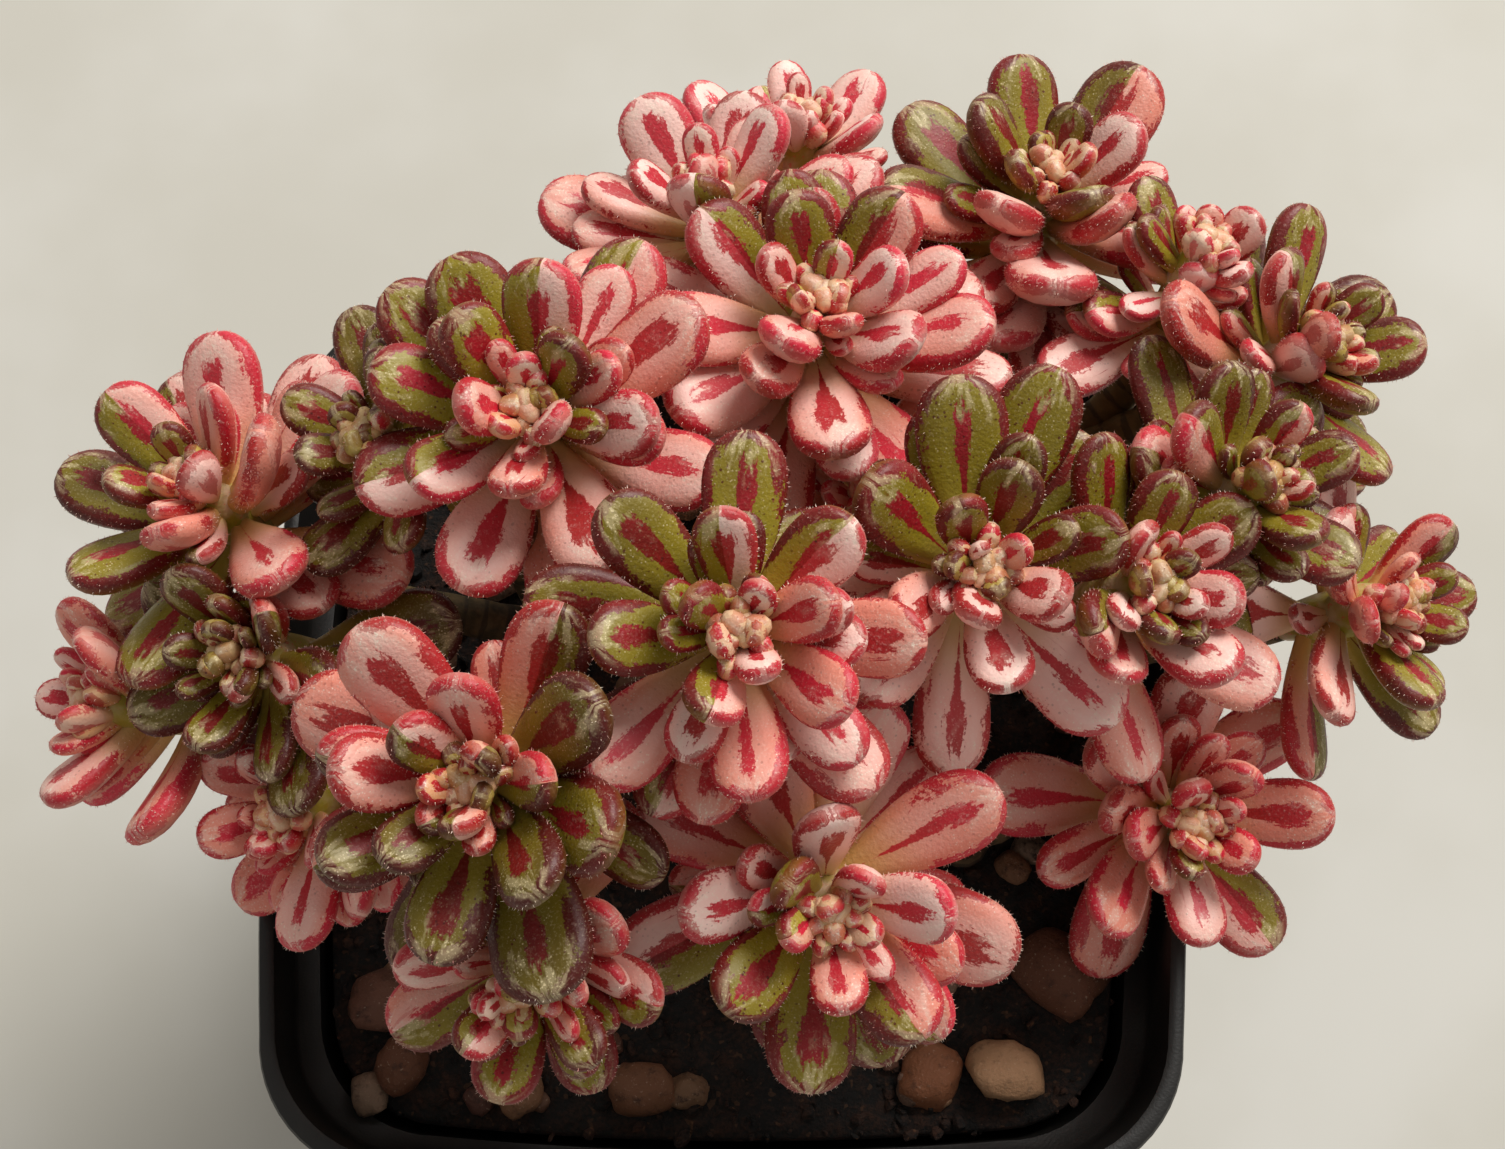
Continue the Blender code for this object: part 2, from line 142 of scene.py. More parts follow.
CLEARING = (
    *((0, 0, 1.0), (0, 9, 1.0), (0, -9, 1.0), (9, 0, 1.0), (-9, 0, 1.0), (9, 9, 0.95), (-9, 9, 0.95)),
    *((0, 18, 0.95), (0, -18, 0.95), (16, -9, 0.9), (-16, -9, 0.9), (0, 28, 0.88), (16, 18, 0.85)),
    *((-16, 18, 0.85), (0, 0, 0.78), (0, 18, 0.75), (0, -18, 0.7), (12, 28, 0.7), (-12, 28, 0.7)),
    *((0, 38, 0.65), (0, 10, 0.55)),
)

# Each head: heart of its rosette, lean off the vertical, side it leans to (0 is +X, 90 is the back),
# turn of its first leaf, number of leaves and length of the longest one.
HEADS = {
    "head_front_crown": ((1, -4, 115), 14, 280, 168, 18, 15.0),
    "head_front_left": ((-18, -14, 109), 18, 235, 240, 20, 16.5),
    "head_middle_left": ((-15, 15, 108), 10, 250, 281, 20, 16.5),
    "head_middle_right": ((19, 3, 107), 16, 285, 265, 17, 15.5),
    "head_back": ((7, 26, 103), 8, 60, 251, 20, 16.5),
    "head_inner_right": ((32, 3, 104), 20, 335, 283, 17, 14.5),
    "head_front_right": ((8, -21, 99), 28, 285, 292, 18, 16.5),
    "head_front_low": ((-15, -27, 99), 34, 255, 292, 15, 13.0),
    "head_right": ((41, 12, 102), 20, 350, 356, 16, 14.0),
    "head_small_left": ((-28, 15, 101), 25, 190, 184, 12, 12.5),
    "head_back_crown": ((-2, 38, 97), 20, 115, 103, 16, 16.0),
    "head_right_back": ((48, 26, 96), 32, 0, 340, 16, 14.5),
    "head_back_right": ((39, 34, 96), 20, 60, 146, 13, 11.5),
    "head_far_back_right": ((27, 43, 91), 18, 80, 83, 17, 17.5),
    "head_left": ((-43, 14, 93), 26, 155, 200, 18, 17.0),
    "head_left_dark": ((-39, 0, 92), 28, 210, 236, 14, 14.0),
    "head_hollow": ((12, 14, 92), 5, 300, 94, 13, 13.0),
    "head_low_right": ((38, -11, 84), 26, 300, 257, 15, 15.5),
    "head_far_right": ((54, 6, 90), 33, 350, 263, 15, 14.0),
    "head_low_left": ((-35, -11, 85), 35, 215, 175, 14, 14.0),
    "head_far_back": ((6, 49, 88), 34, 90, 90, 12, 14.0),
    "head_far_left": ((-51, -2, 84), 58, 185, 157, 11, 15.0),
}

# Each stem: where it stands in the soil, the height of its fork and the heads that it carries
STEMS = {
    "stem_left": ((-15, 8), 70, ("head_middle_left", "head_small_left", "head_left")),
    "stem_front_left": ((-13, -9), 74, ("head_front_left", "head_front_low")),
    "stem_centre": ((2, -3), 74, ("head_front_crown", "head_front_right")),
    "stem_back": ((3, 21), 70, ("head_back", "head_back_crown", "head_far_back")),
    "stem_back_right": ((20, 19), 70, ("head_far_back_right", "head_back_right", "head_right_back")),
    "stem_right": ((21, 4), 71, ("head_middle_right", "head_inner_right", "head_right", "head_far_right")),
    "stem_low_right": ((21, -9), 68, ("head_low_right",)),
    "stem_low_left": ((-22, -2), 69, ("head_left_dark", "head_far_left", "head_low_left")),
    "stem_hollow": ((10, 10), 70, ("head_hollow",)),
}

# Colouring of each head: the side that its green leaves point to, how wide that green sector is,
# how dark its reds and its green ground are, partly their own colour and partly painted shade
# for heads that sit in shade, how pale its pink leaves are and the share of green in its heart.
LOOKS = {
    "head_front_crown": (140, 150, 0.15, 0.45, 0.5),
    "head_front_left": (310, 220, 0.5, 0.1, 0.6),
    "head_middle_left": (142, 140, 0.15, 0.5, 0.5),
    "head_middle_right": (80, 160, 0.3, 0.5, 0.4),
    "head_back": (95, 70, 0.1, 0.5, 0.15),
    "head_inner_right": (110, 190, 0.3, 0.4, 0.5),
    "head_front_right": (262, 130, 0.15, 0.45, 0.4),
    "head_front_low": (275, 150, 0.2, 0.4, 0.3),
    "head_right": (350, 330, 0.35, 0.2, 0.9),
    "head_small_left": (200, 350, 0.4, 0.3, 1.0),
    "head_back_crown": (300, 20, 0.0, 0.7, 0.0),
    "head_right_back": (20, 260, 0.35, 0.3, 0.8),
    "head_back_right": (150, 70, 0.1, 0.6, 0.1),
    "head_far_back_right": (120, 150, 0.3, 0.5, 0.5),
    "head_left": (190, 160, 0.25, 0.4, 0.5),
    "head_left_dark": (240, 340, 0.55, 0.3, 0.9),
    "head_hollow": (300, 10, 0.0, 0.5, 0.1),
    "head_low_right": (330, 60, 0.15, 0.15, 0.2),
    "head_far_right": (340, 170, 0.3, 0.35, 0.4),
    "head_low_left": (120, 10, 0.0, 0.1, 0.0),
    "head_far_back": (90, 10, 0.0, 0.9, 0.0),
    "head_far_left": (180, 10, 0.0, 0.3, 0.0),
}

# Leaves that only the looks have: sides and lengths of low ones that sprawl over the gaps between
# the heads, then the tries at filling a head, and which heads are full down to their lowest leaves.
SPRAWLING = {
    "head_front_crown": ((245, 14.0), (275, 14.0)),
    "head_front_left": ((5, 17.0), (335, 17.0), (25, 15.0), (300, 15.0)),
    "head_front_right": ((165, 15.0), (130, 14.0), (95, 14.0)),
    "head_back": ((5, 16.0),),
    "head_back_right": ((215, 14.5), (180, 13.0), (245, 13.0)),
    "head_far_back_right": ((262, 16.0), (290, 15.0)),
    "head_inner_right": ((105, 15.0), (80, 14.0)),
    "head_left": ((62, 16.0), (85, 15.0)),
    "head_middle_left": ((140, 16.0),),
    "head_middle_right": ((65, 17.0), (85, 16.0)),
    "head_right": ((140, 14.5), (115, 14.0)),
    "head_small_left": ((118, 14.5), (92, 13.5), (145, 14.0)),
}
GAP_TRIES = 90
GAP_LEAVES = 12
GAP_CLEAR = 0.15
FULL_HEADS = (
    *("head_back", "head_back_crown", "head_back_right", "head_far_back_right", "head_front_left"),
    *("head_front_right", "head_hollow", "head_inner_right", "head_left", "head_middle_right"),
    "head_small_left",
)

# What is in a heart: how many, then opening, length and height, each with its gain from first to
# last, then width as a share of the length, and bend. Below it: thickness as a share of the width.
YOUNG_LEAVES = (7, (50, -16), (4.6, -1.2), (-1.2, 0.8), 0.46, 20)
BUDS = (4, (24, -20), (2.9, -0.5), (0.0, 0.0), 0.74, 10)
BUD_THICKNESS = 0.66
BUD_ROOT_OUT = 0.3

# How finely the looks are made, and how much further along its bark a branch starts than a trunk
POT_POINTS = (14, 10)
SOIL_POINTS = (8, 12)
SOIL_LEVELS = 26
SLOT_END_STEPS = 8
TRUNK_RINGS = 14
FINE_BRANCH_RINGS = 22
BRANCH_RUN = 12
FINE_SIDES = 12
FINE_SHOOT = (
    *((-12, 1.5), (-10, 1.75), (-8, 2.0), (-6.3, 2.15), (-4.5, 2.15)),
    *((-3, 2.1), (-1.5, 1.9), (-0.4, 1.6), (0.5, 1.1), (1.0, 0.5)),
)
FINE_STATIONS = (0, 0.06, 0.13, 0.21, 0.3, 0.39, 0.48, 0.56, 0.64, 0.72, 0.79, 0.85, 0.9, 0.94, 0.97, 0.99)
LEAF_SIDES = 16
BEAD_SIDES = 10

# The plump section of a leaf: its foot's width, how blunt its tip is, how much narrower and fuller
# it is than the solid's, and more so below PLUMP_BELOW, and the depths of its groove and its cup.
FOOT_WIDTH = 0.27
TIP_BLUNTNESS = (2.3, 2.1)
PLUMP_BELOW = 9.0
NARROWER = (0.91, 0.06)
FULLER = (1.25, 0.45)
SECTION_POWER = 0.85
SECTION_TOP = 0.44
SECTION_BOTTOM = 0.58
GROOVE = (0.3, 0.16)
CUP = 0.07

# The soil's lumps: height, scale and layer of noise. Then the loose stones and what shapes a stone,
# and how far through the stones' colours each placed stone is, and how dark its damp makes it.
SOIL_LUMPS = ((0.75, 0.16, 0), (0.35, 0.5, 5))
LOOSE_STONES = 70
LOOSE_RADIUS = (0.7, 1.9)
LOOSE_PROUD = 0.35
LOOSE_EDGE = 2.5
STEM_ROOM = 2.8
STONE_STRETCH = (1.15, 0.92, 0.78)
STONE_BUMPS = ((0.16, 1.6), (0.06, 4))
STONE_FACES = [
    Vector(way).normalized()
    for way in (
        *((1, 0.2, 0.1), (-0.2, 1, 0.3), (0.1, -0.2, 1), (1, 1, 0.8)),
        *((-1, 0.8, 0.7), (0.7, -1, 0.9), (1, -0.4, -0.8)),
    )
]
GRIT_TINTS = (
    *((0.62, 0.05), (0.3, 0.25), (0.12, 0.4), (0.66, 0.1)),
    *((0.8, 0.5), (0.2, 0.6), (0.45, 0.5), (0.35, 0.6)),
)

# In metres: a hair's radius at its foot and how far a crumb's corners are knocked out of place
HAIR_RADIUS = 0.000035
CRUMB_KNOCK = 0.0011

# The stage, in metres: the camera, whose angles are in degrees and lens in millimetres, and the light
CAMERA_PLACE = Vector((0.0, -0.055, 0.292))
CAMERA_DOWN = 72.7
CAMERA_TURN = -1.9
CAMERA_ROLL = 2.4
SENSOR_WIDTH = 36
CAMERA_LENS = 2600 / 1505 * SENSOR_WIDTH
NEAREST_SEEN = 0.01
FLOOR_REACH = 1.5
WINDOW_PLACE = (0.64, 1.0, 1.24)
WINDOW_AIM = (0, 0, 0.08)
WINDOW_SIZE = 1.0
WINDOW_TINT = (1.0, 0.98, 0.94)
DAYLIGHT_TINT = (1.0, 0.97, 0.92, 1)


def to_light(red, green, blue):
    """A colour as Blender holds it, from the 0 to 255 numbers of a paint chart."""
    shares = [c / 255 for c in (red, green, blue)]
    return tuple(((share + 0.055) / 1.055) ** 2.4 if share > 0.04 else share / 12.92 for share in shares)


def colour(name, about, *chart):
    """A colour property with its default from a paint chart."""
    settings = {"subtype": "COLOR", "size": 3, "min": 0, "max": 1}
    return FloatVectorProperty(name=name, description=about, default=to_light(*chart), **settings)


def number(name, about, default, **more):
    """A property that is a number of zero or more."""
    kind = IntProperty if isinstance(default, int) else FloatProperty
    return kind(name=name, description=about, default=default, min=0, **more)


class PotLooks(bpy.types.PropertyGroup):
    plastic: colour("Plastic", "Colour of the pot", 12, 10, 8)
    dust: colour("Dust", "Colour of the dust and dried water on the pot", 88, 80, 70)
    roughness: number("Roughness", "How matt the plastic is", 0.46, max=1, subtype="FACTOR")


class SoilLooks(bpy.types.PropertyGroup):
    wet: colour("Wet soil", "Colour of the darkest soil", 12, 8, 6)
    dry: colour("Dry soil", "Colour of the lightest crumbs", 104, 64, 44)
    crumbs: number("Crumbs", "Loose crumbs over the soil", 2600, max=6000)
    crumb_size: number("Crumb size", "Radius of a large crumb", 0.0011, unit="LENGTH")


class LeafLooks(bpy.types.PropertyGroup):
    green: colour("Green", "Olive green ground of a leaf", 160, 144, 36)
    # dark green: olive ground of old leaves, and painted shade on heads that sit in shade
    dark_green: colour("Dark green", "Ground of a shaded or old leaf", 100, 80, 18)
    pink: colour("Pink", "Pink ground of a leaf", 230, 142, 122)
    cream: colour("Cream", "Pale ground of a leaf", 250, 212, 202)
    # foot: a yellowish tint of the leaves' lower parts, darkened with painted shade where the leaves crowd
    # each other near the heart
    foot: colour("Foot", "Yellowish foot of a leaf", 208, 176, 92)
    crimson: colour("Crimson", "Stripe and rim of a pale pink leaf", 212, 14, 56)
    red: colour("Red", "Stripe and rim of a strongly marked leaf", 168, 4, 14)
    maroon: colour("Maroon", "Stripe and rim of a green leaf", 84, 12, 8)
    # frost and gold: colours of the painted highlight near the tips and of the painted glints on the real
    # sticky beads and hairs
    frost_and_sheen: colour("Frost", "Fine silvery grain near the tips", 246, 232, 214)
    gold_and_glint: colour("Gold", "Fine sticky grain on green leaves", 226, 206, 130)
    hairs: number("Hairs", "Hairs on each square centimetre of leaf rim", 400, max=900)
    hair_length: number("Hair length", "Length of a hair", 0.0003, unit="LENGTH")


class StageLooks(bpy.types.PropertyGroup):
    floor: colour("Floor", "Colour of the floor", 203, 200, 190)
    daylight: number("Daylight", "Strength of the light from all sides", 0.36)
    window: number("Window", "Power of the large soft light", 30.0)


def both_ways(operation):
    """A Python operator as a Math node, and its form for a plain number on the left."""
    return lambda a, b: a.maths(operation, a, b), lambda a, b: a.maths(operation, b, a)


class Value:
    """A number that changes over a surface, so that shader maths reads as an expression."""

    __add__, __radd__ = both_ways("ADD")
    __sub__, __rsub__ = both_ways("SUBTRACT")
    __mul__, __rmul__ = both_ways("MULTIPLY")

    def __init__(self, nodes, socket):
        self.nodes, self.socket = nodes, socket

    def maths(self, operation, *operands):
        return self.nodes.node("ShaderNodeMath", {"operation": operation}, dict(enumerate(operands))).value(0)

    def __abs__(self):
        return self.maths("ABSOLUTE", self)

    def root(self):
        return self.maths("SQRT", self)

    def above(self, edge):
        return self.maths("GREATER_THAN", self, edge)

    def least(self, other):
        return self.maths("MINIMUM", self, other)

    def most(self, other):
        return self.maths("MAXIMUM", self, other)

    def smooth(self, low, high):
        """0 below low, 1 above high and a soft step between."""
        ends = {"Value": self, "From Min": low, "From Max": high}
        return self.nodes.node("ShaderNodeMapRange", {"interpolation_type": "SMOOTHSTEP"}, ends).value(0)


class Made:
    """A node that has just been made, with its outputs by name or number."""

    def __init__(self, nodes, node):
        self.nodes, self.raw = nodes, node

    def __getitem__(self, output):
        return self.raw.outputs[output]

    def value(self, output):
        return Value(self.nodes, self.raw.outputs[output])


def socket_of(given):
    """The socket of a value or a node, and a plain setting as it is."""
    if isinstance(given, Made):
        return given[0]
    return given.socket if isinstance(given, Value) else given


class Nodes:
    """Makes and joins the nodes of one shader or geometry tree."""

    def __init__(self, tree):
        self.tree = tree

    def node(self, kind, settings=None, sockets=None):
        """A node of a kind, with its settings set first and then its sockets' values or links."""
        made = self.tree.nodes.new(kind)
        for name, setting in (settings or {}).items():
            if name == "stops":
                ramp = made.color_ramp.elements
                while len(ramp) < len(setting):
                    ramp.new(0.5)
                for stop, (place, shade) in zip(ramp, setting):
                    stop.position, stop.color = place, (*shade, 1)
            else:
                setattr(made, name, setting)
        for name, given in (sockets or {}).items():
            given = socket_of(given)
            if isinstance(given, bpy.types.NodeSocket):
                self.tree.links.new(given, made.inputs[name])
            elif made.inputs[name].type == "RGBA" and len(given) == 3:
                made.inputs[name].default_value = (*given, 1)
            else:
                made.inputs[name].default_value = given
        return Made(self, made)

    def mix(self, a, b, share):
        """Colour a turning into colour b as share goes from 0 to 1."""
        settings = {"data_type": "RGBA", "clamp_factor": True}
        return self.node("ShaderNodeMix", settings, {0: share, 6: a, 7: b})[2]

    def parts(self, vector):
        split = self.node("ShaderNodeSeparateXYZ", None, {0: vector})
        return split.value(0), split.value(1), split.value(2)

    def joined(self, x, y, z):
        return self.node("ShaderNodeCombineXYZ", None, {0: x, 1: y, 2: z})[0]

    def scaled(self, vector, scale):
        return self.node("ShaderNodeVectorMath", {"operation": "SCALE"}, {0: vector, "Scale": scale})[0]

    def attribute(self, name):
        return self.node("ShaderNodeAttribute", {"attribute_name": name})["Vector"]

    def places(self):
        """Object coordinates in millimetres."""
        return self.scaled(self.node("ShaderNodeTexCoord")["Object"], 1 / MM)

    def grain(self, where, scale, detail=2.0, roughness=0.5):
        """Soft noise round 0.5 with about scale features in each millimetre."""
        sockets = {"Vector": where, "Scale": scale, "Detail": detail, "Roughness": roughness}
        return self.node("ShaderNodeTexNoise", None, sockets).value("Fac")

    def cells(self, where, scale):
        """Distance to the middle of the nearest cell, with about scale cells in each millimetre."""
        return self.node("ShaderNodeTexVoronoi", None, {"Vector": where, "Scale": scale}).value("Distance")

    def luck(self, seed):
        """A number from 0 to 1 drawn for each point."""
        return self.node("FunctionNodeRandomValue", None, {"Seed": seed}).value(1)

    def any_vector(self, low, high, seed):
        """A vector between two others, drawn for each point."""
        sockets = {"Min": low, "Max": high, "Seed": seed}
        return self.node("FunctionNodeRandomValue", {"data_type": "FLOAT_VECTOR"}, sockets)[0]


class Paint(Nodes):
    """The nodes of one material, with its Principled shader."""

    def __init__(self, name, **constants):
        self.material = bpy.data.materials.new(name)
        self.material.use_nodes = True
        super().__init__(self.material.node_tree)
        self.shader = self.tree.nodes["Principled BSDF"]
        for socket, value in constants.items():
            self.shader.inputs[socket.replace("_", " ")].default_value = value

    def finish(self, skin, roughness=None, height=None, depth=0.0, strength=1.0):
        """Feeds the shader. Its bumps have a depth in millimetres where height goes from 0 to 1."""
        fed = {"Base Color": skin}
        if roughness is not None:
            fed["Roughness"] = roughness
        if height is not None:
            bump = {"Strength": strength, "Distance": depth * MM, "Height": height}
            fed["Normal"] = self.node("ShaderNodeBump", None, bump)
        for socket, given in fed.items():
            self.tree.links.new(socket_of(given), self.shader.inputs[socket])
        return self.material


def paint_leaves(looks):
    """Variegated leaf: each half green or pink, with a ragged red stripe and rim, and a silvery grain with
    painted glints and a painted highlight near the tip.
    """
    paint = Paint("variegated_leaf", Specular_IOR_Level=0.36, Coat_Weight=0.15, Coat_Roughness=0.26)
    where = paint.places()
    across, along, under = paint.parts(paint.attribute("place"))
    draw, young, size = paint.parts(paint.attribute("leaf"))
    off = abs(across)

    # noises that follow the leaf, from soft to fine, each round 0
    wide, long = across * size, along * size
    skin_place = paint.joined(wide * 0.24, long * 0.42, draw * 60)
    ragged = paint.grain(skin_place, 1.0, 4, 0.6) - 0.5
    torn = paint.grain(paint.joined(wide * 0.3, long * 0.1, draw * 60), 1.5, 4, 0.65) - 0.5
    spotty = paint.grain(where, 3.2, 2.0, 0.6) - 0.5
    patchy = paint.grain(skin_place, 0.35, 1) - 0.5
    cloudy = paint.grain(skin_place, 0.45, 3)
    clouds = (cloudy - 0.5) * 0.8

    # which of its two halves' tones a point has
    border = across + (draw - 0.5) * 0.14 + (torn + ragged * 0.5) * 0.3 * along.smooth(0.3, 0.9)
    tones = {0: border.smooth(-0.03, 0.03), 4: paint.attribute("tone_left"), 5: paint.attribute("tone_right")}
    green, dark, pale = paint.parts(paint.node("ShaderNodeMix", {"data_type": "VECTOR"}, tones)[1])

    # the stripe, the rim and the small marks
    crisp = 0.35 + 0.65 * along.smooth(0.3, 0.8)
    wedge = 0.035 + (0.14 + 0.19 * draw + 0.06 * young) * along.smooth(0.25, 0.8)
    stripe = (wedge + (ragged * 0.45 + torn * 0.5 + spotty * 0.3) * crisp - off).smooth(-0.02, 0.03)
    stripe_end = along + ragged * 0.35 + torn * 0.25 + spotty * 0.15
    stripe = stripe * along.smooth(0.0, 0.25) * (1 - stripe_end.smooth(0.84, 0.88))
    tip = along.smooth(0.82, 1.04)
    edge = 1.06 - 0.22 * along.smooth(0.2, 0.75) - 0.12 * green
    shore = ragged * 0.6 + torn * 0.4 + spotty * 0.4 + patchy * 0.8
    rim = ((off * off + tip * tip).root() + shore - edge).smooth(-0.03, 0.04)
    rim = rim * (along + ragged * 0.4).smooth(0.16, 0.4)
    flecks = torn.smooth(0.17, 0.22) * along.smooth(0.3, 0.6) * (0.3 + 0.7 * draw)
    dots = 1 - paint.cells(where, 1.9).smooth(0.15, 0.26)
    specks = dots * paint.grain(skin_place, 1.2).smooth(0.48, 0.56) * along.smooth(0.3, 0.6)
    marks = (1 - (1 - stripe) * (1 - rim) * (1 - flecks)) * (0.25 + 0.75 * size.smooth(2.4, 4.2))

    # the ground under them
    # the ground turns dark green with the head's darkness share, partly its own colour and partly painted
    # shade, with random clouds and darker towards the tip
    shaded = dark * 0.9 + clouds + 0.35 * along.smooth(0.3, 0.9) - 0.1
    leafy = paint.mix(looks.green, looks.dark_green, shaded)
    rosy = paint.mix(looks.pink, looks.cream, pale * 1.1 + clouds - off.smooth(0.4, 1.0) * 0.35)
    ground = paint.mix(rosy, leafy, green)
    # the foot colour near the heart: a real yellowish tint, partly painted shade of the leaves crowding each
    # other
    foot = (0.8 - 0.2 * green) * (1 - along.smooth(0.08, 0.62 - 0.12 * green))
    ground = paint.mix(ground, looks.foot, foot.most(young.smooth(0.8, 1.0) * 0.5))

    # the reds, and cream that shows through them
    # the reds deepen with the same darkness share, which is partly painted shade
    deep = (dark * 1.2 + (cloudy - 0.5) * 1.6 + draw * 0.8 - 0.1).least(1.0)
    brown = green * (0.7 + 0.5 * dark + (cloudy - 0.5) * 0.7 - 0.3 * stripe)
    red = paint.mix(paint.mix(looks.crimson, looks.red, deep), looks.maroon, brown)
    skin = paint.mix(ground, red, marks * (0.98 - under * 0.3 - (1 - green) * (1 - young) * 0.06))
    bare = marks * spotty.smooth(0.06, 0.24) * along.smooth(0.4, 0.9) * (0.34 - 0.2 * green)
    skin = paint.mix(skin, looks.cream, bare)
    skin = paint.mix(skin, looks.maroon, specks * (0.3 + 0.55 * green))

    # painted highlight: a silvery sheen near the tip, and painted glints on the real sticky beads and fine
    # grit, faint on the underside
    sheen_cap = (ragged + 0.5 * along).smooth(0.42, 0.56) * along.smooth(0.6, 0.9) * (1 - off.smooth(0.6, 0.95))
    glinting_beads = (1 - paint.cells(where, 3.4).smooth(0.1, 0.3)) * paint.grain(where, 0.8).smooth(0.45, 0.6)
    grit = paint.grain(where, 5.0, 2.0).smooth(0.55, 0.68)
    frost_and_sheen = (grit * 0.16 + glinting_beads * 0.7) * along.smooth(0.2, 0.8) * (1 - marks * 0.7)
    frost_and_sheen = (frost_and_sheen + sheen_cap * (0.25 + 0.15 * green + 0.4 * grit)) * (1 - under * 0.7)
    skin = paint.mix(skin, paint.mix(looks.frost_and_sheen, looks.gold_and_glint, green * 0.6), frost_and_sheen)
    roughness = 0.42 + 0.16 * cloudy - 0.16 * frost_and_sheen + 0.05 * under
    return paint.finish(skin, roughness, paint.grain(where, 3.2, 3.0), 0.12, 0.6)


def paint_shoots(looks):
    paint = Paint("young_shoot")
    where = paint.places()
    tint = paint.grain(where, 0.35, 3)
    skin = paint.mix(looks.green, looks.cream, tint.smooth(0.35, 0.75) * 0.6)
    skin = paint.mix(skin, looks.crimson, paint.grain(where, 2.2, 3).smooth(0.6, 0.7) * 0.5)
    return paint.finish(skin, 0.5 + 0.2 * tint, paint.grain(where, 2.5, 3), 0.2, 0.5)


def paint_bark():
    """Woody stem: grey brown bark with leaf scars, greener where it is young and high."""
    paint = Paint("stem_bark")
    brown, grey, olive, scar = (46, 32, 20), (112, 88, 60), (104, 90, 40), (30, 20, 15)
    along, _, _ = paint.parts(paint.attribute("place"))
    where = paint.places()
    patchy = paint.grain(where, 0.6, 5, 0.65)
    rings = {"Vector": paint.joined(along, 0.0, 0.0), "Scale": 0.16}
    rings.update({"Distortion": 3.0, "Detail": 2.0, "Detail Scale": 2.0})
    ring = paint.node("ShaderNodeTexWave", {"bands_direction": "X"}, rings).value("Fac")
    bark = paint.mix(to_light(*brown), to_light(*grey), patchy.smooth(0.3, 0.7))
    bark = paint.mix(bark, to_light(*olive), along.smooth(12, 34) * 0.5)
    bark = paint.mix(bark, to_light(*scar), (ring + (patchy - 0.5) * 1.2).smooth(0.75, 0.95) * 0.6)
    return paint.finish(bark, 0.7 + 0.25 * patchy, patchy * 0.6 + ring * 0.4, 0.35, 0.8)


def paint_soil(name, looks, lightness):
    """Dark potting soil with bark crumbs, paler where it has dried."""
    paint = Paint(name)
    chips = (122, 84, 56)
    where = paint.places()
    lumps = paint.grain(where, 0.4, 4, 0.6)
    bits = paint.grain(where, 2.4, 4, 0.7)
    soil = paint.mix(looks.wet, looks.dry, (lumps - 0.42) * lightness + (bits - 0.5) * 0.8)
    chippy = paint.grain(where, 1.3, 1).smooth(0.66, 0.72) * 0.35 * lightness
    soil = paint.mix(soil, to_light(*chips), chippy)
    return paint.finish(soil, 0.72 + 0.28 * lumps, bits * 0.6 + lumps * 0.4, 0.5)


def paint_grit():
    """Stones, each of its own tan, rust or brown, with dark dirt in their pits."""
    paint = Paint("grit_stone")
    dirt, pit = (52, 32, 24), (222, 196, 170)
    stones = ((86, 46, 30), (150, 92, 58), (186, 142, 104), (122, 70, 58), (200, 168, 138))
    stops = [(place, to_light(*stone)) for place, stone in zip((0.0, 0.3, 0.6, 0.85, 1.0), stones)]
    tint, wet, _ = paint.parts(paint.attribute("stone"))
    hue = paint.node("ShaderNodeValToRGB", {"stops": stops}, {0: tint})[0]
    where = paint.places()
    mottled = paint.grain(where, 0.9, 5, 0.7)
    pits = paint.grain(where, 3.5, 3)
    stone = paint.mix(hue, to_light(*dirt), mottled.smooth(0.5, 0.75) * 0.5 + wet * 0.8)
    stone = paint.mix(stone, to_light(*pit), pits.smooth(0.62, 0.75) * 0.3)
    return paint.finish(stone, 0.55 + 0.3 * mottled, mottled * 0.7 + pits * 0.3, 0.35)


def paint_pot(looks):
    """Matt black plastic with a fine moulded grain, faint scuffs and dried drops of water."""
    paint = Paint("black_plastic")
    where = paint.places()
    dusty = paint.grain(where, 0.08, 5, 0.6)
    scuffs = paint.grain(where, 0.9, 4, 0.7)
    drops = 1 - paint.cells(where, 0.14).smooth(0.1, 0.45)
    dust = dusty.smooth(0.45, 0.8) * 0.1 + drops * scuffs.smooth(0.5, 0.7) * 0.1
    plastic = paint.mix(looks.plastic, looks.dust, dust)
    roughness = looks.roughness + 0.22 * dusty + 0.1 * scuffs - 0.12
    return paint.finish(plastic, roughness, paint.grain(where, 4.0, 2) * 0.7 + scuffs * 0.3, 0.06, 0.6)


def paint_hairs():
    paint = Paint("leaf_hair", Roughness=0.35)
    white, rosy = (244, 226, 206), (226, 160, 150)
    tint = paint.grain(paint.places(), 0.3).smooth(0.4, 0.6)
    return paint.finish(paint.mix(to_light(*white), to_light(*rosy), tint))


def paint_floor(looks):
    paint = Paint("floor_plaster", Specular_IOR_Level=0.3)
    paler = (214, 212, 205)
    cloudy = paint.grain(paint.places(), 0.02, 4)
    plaster = paint.mix(looks.floor, to_light(*paler), cloudy.smooth(0.35, 0.7))
    return paint.finish(plaster, 0.6 + 0.2 * cloudy)


def linked(name, data):
    made = bpy.data.objects.new(name, data)
    bpy.context.scene.collection.objects.link(made)
    return made


def mesh_object(name, points, faces, *paints):
    """A mesh object from points in millimetres. Its place is in its mesh and it sits at the origin."""
    mesh = bpy.data.meshes.new(name)
    mesh.from_pydata((np.asarray(points, float) * MM).tolist(), [], faces)
    for paint in paints:
        mesh.materials.append(paint)
    mesh.shade_smooth()
    return linked(name, mesh)


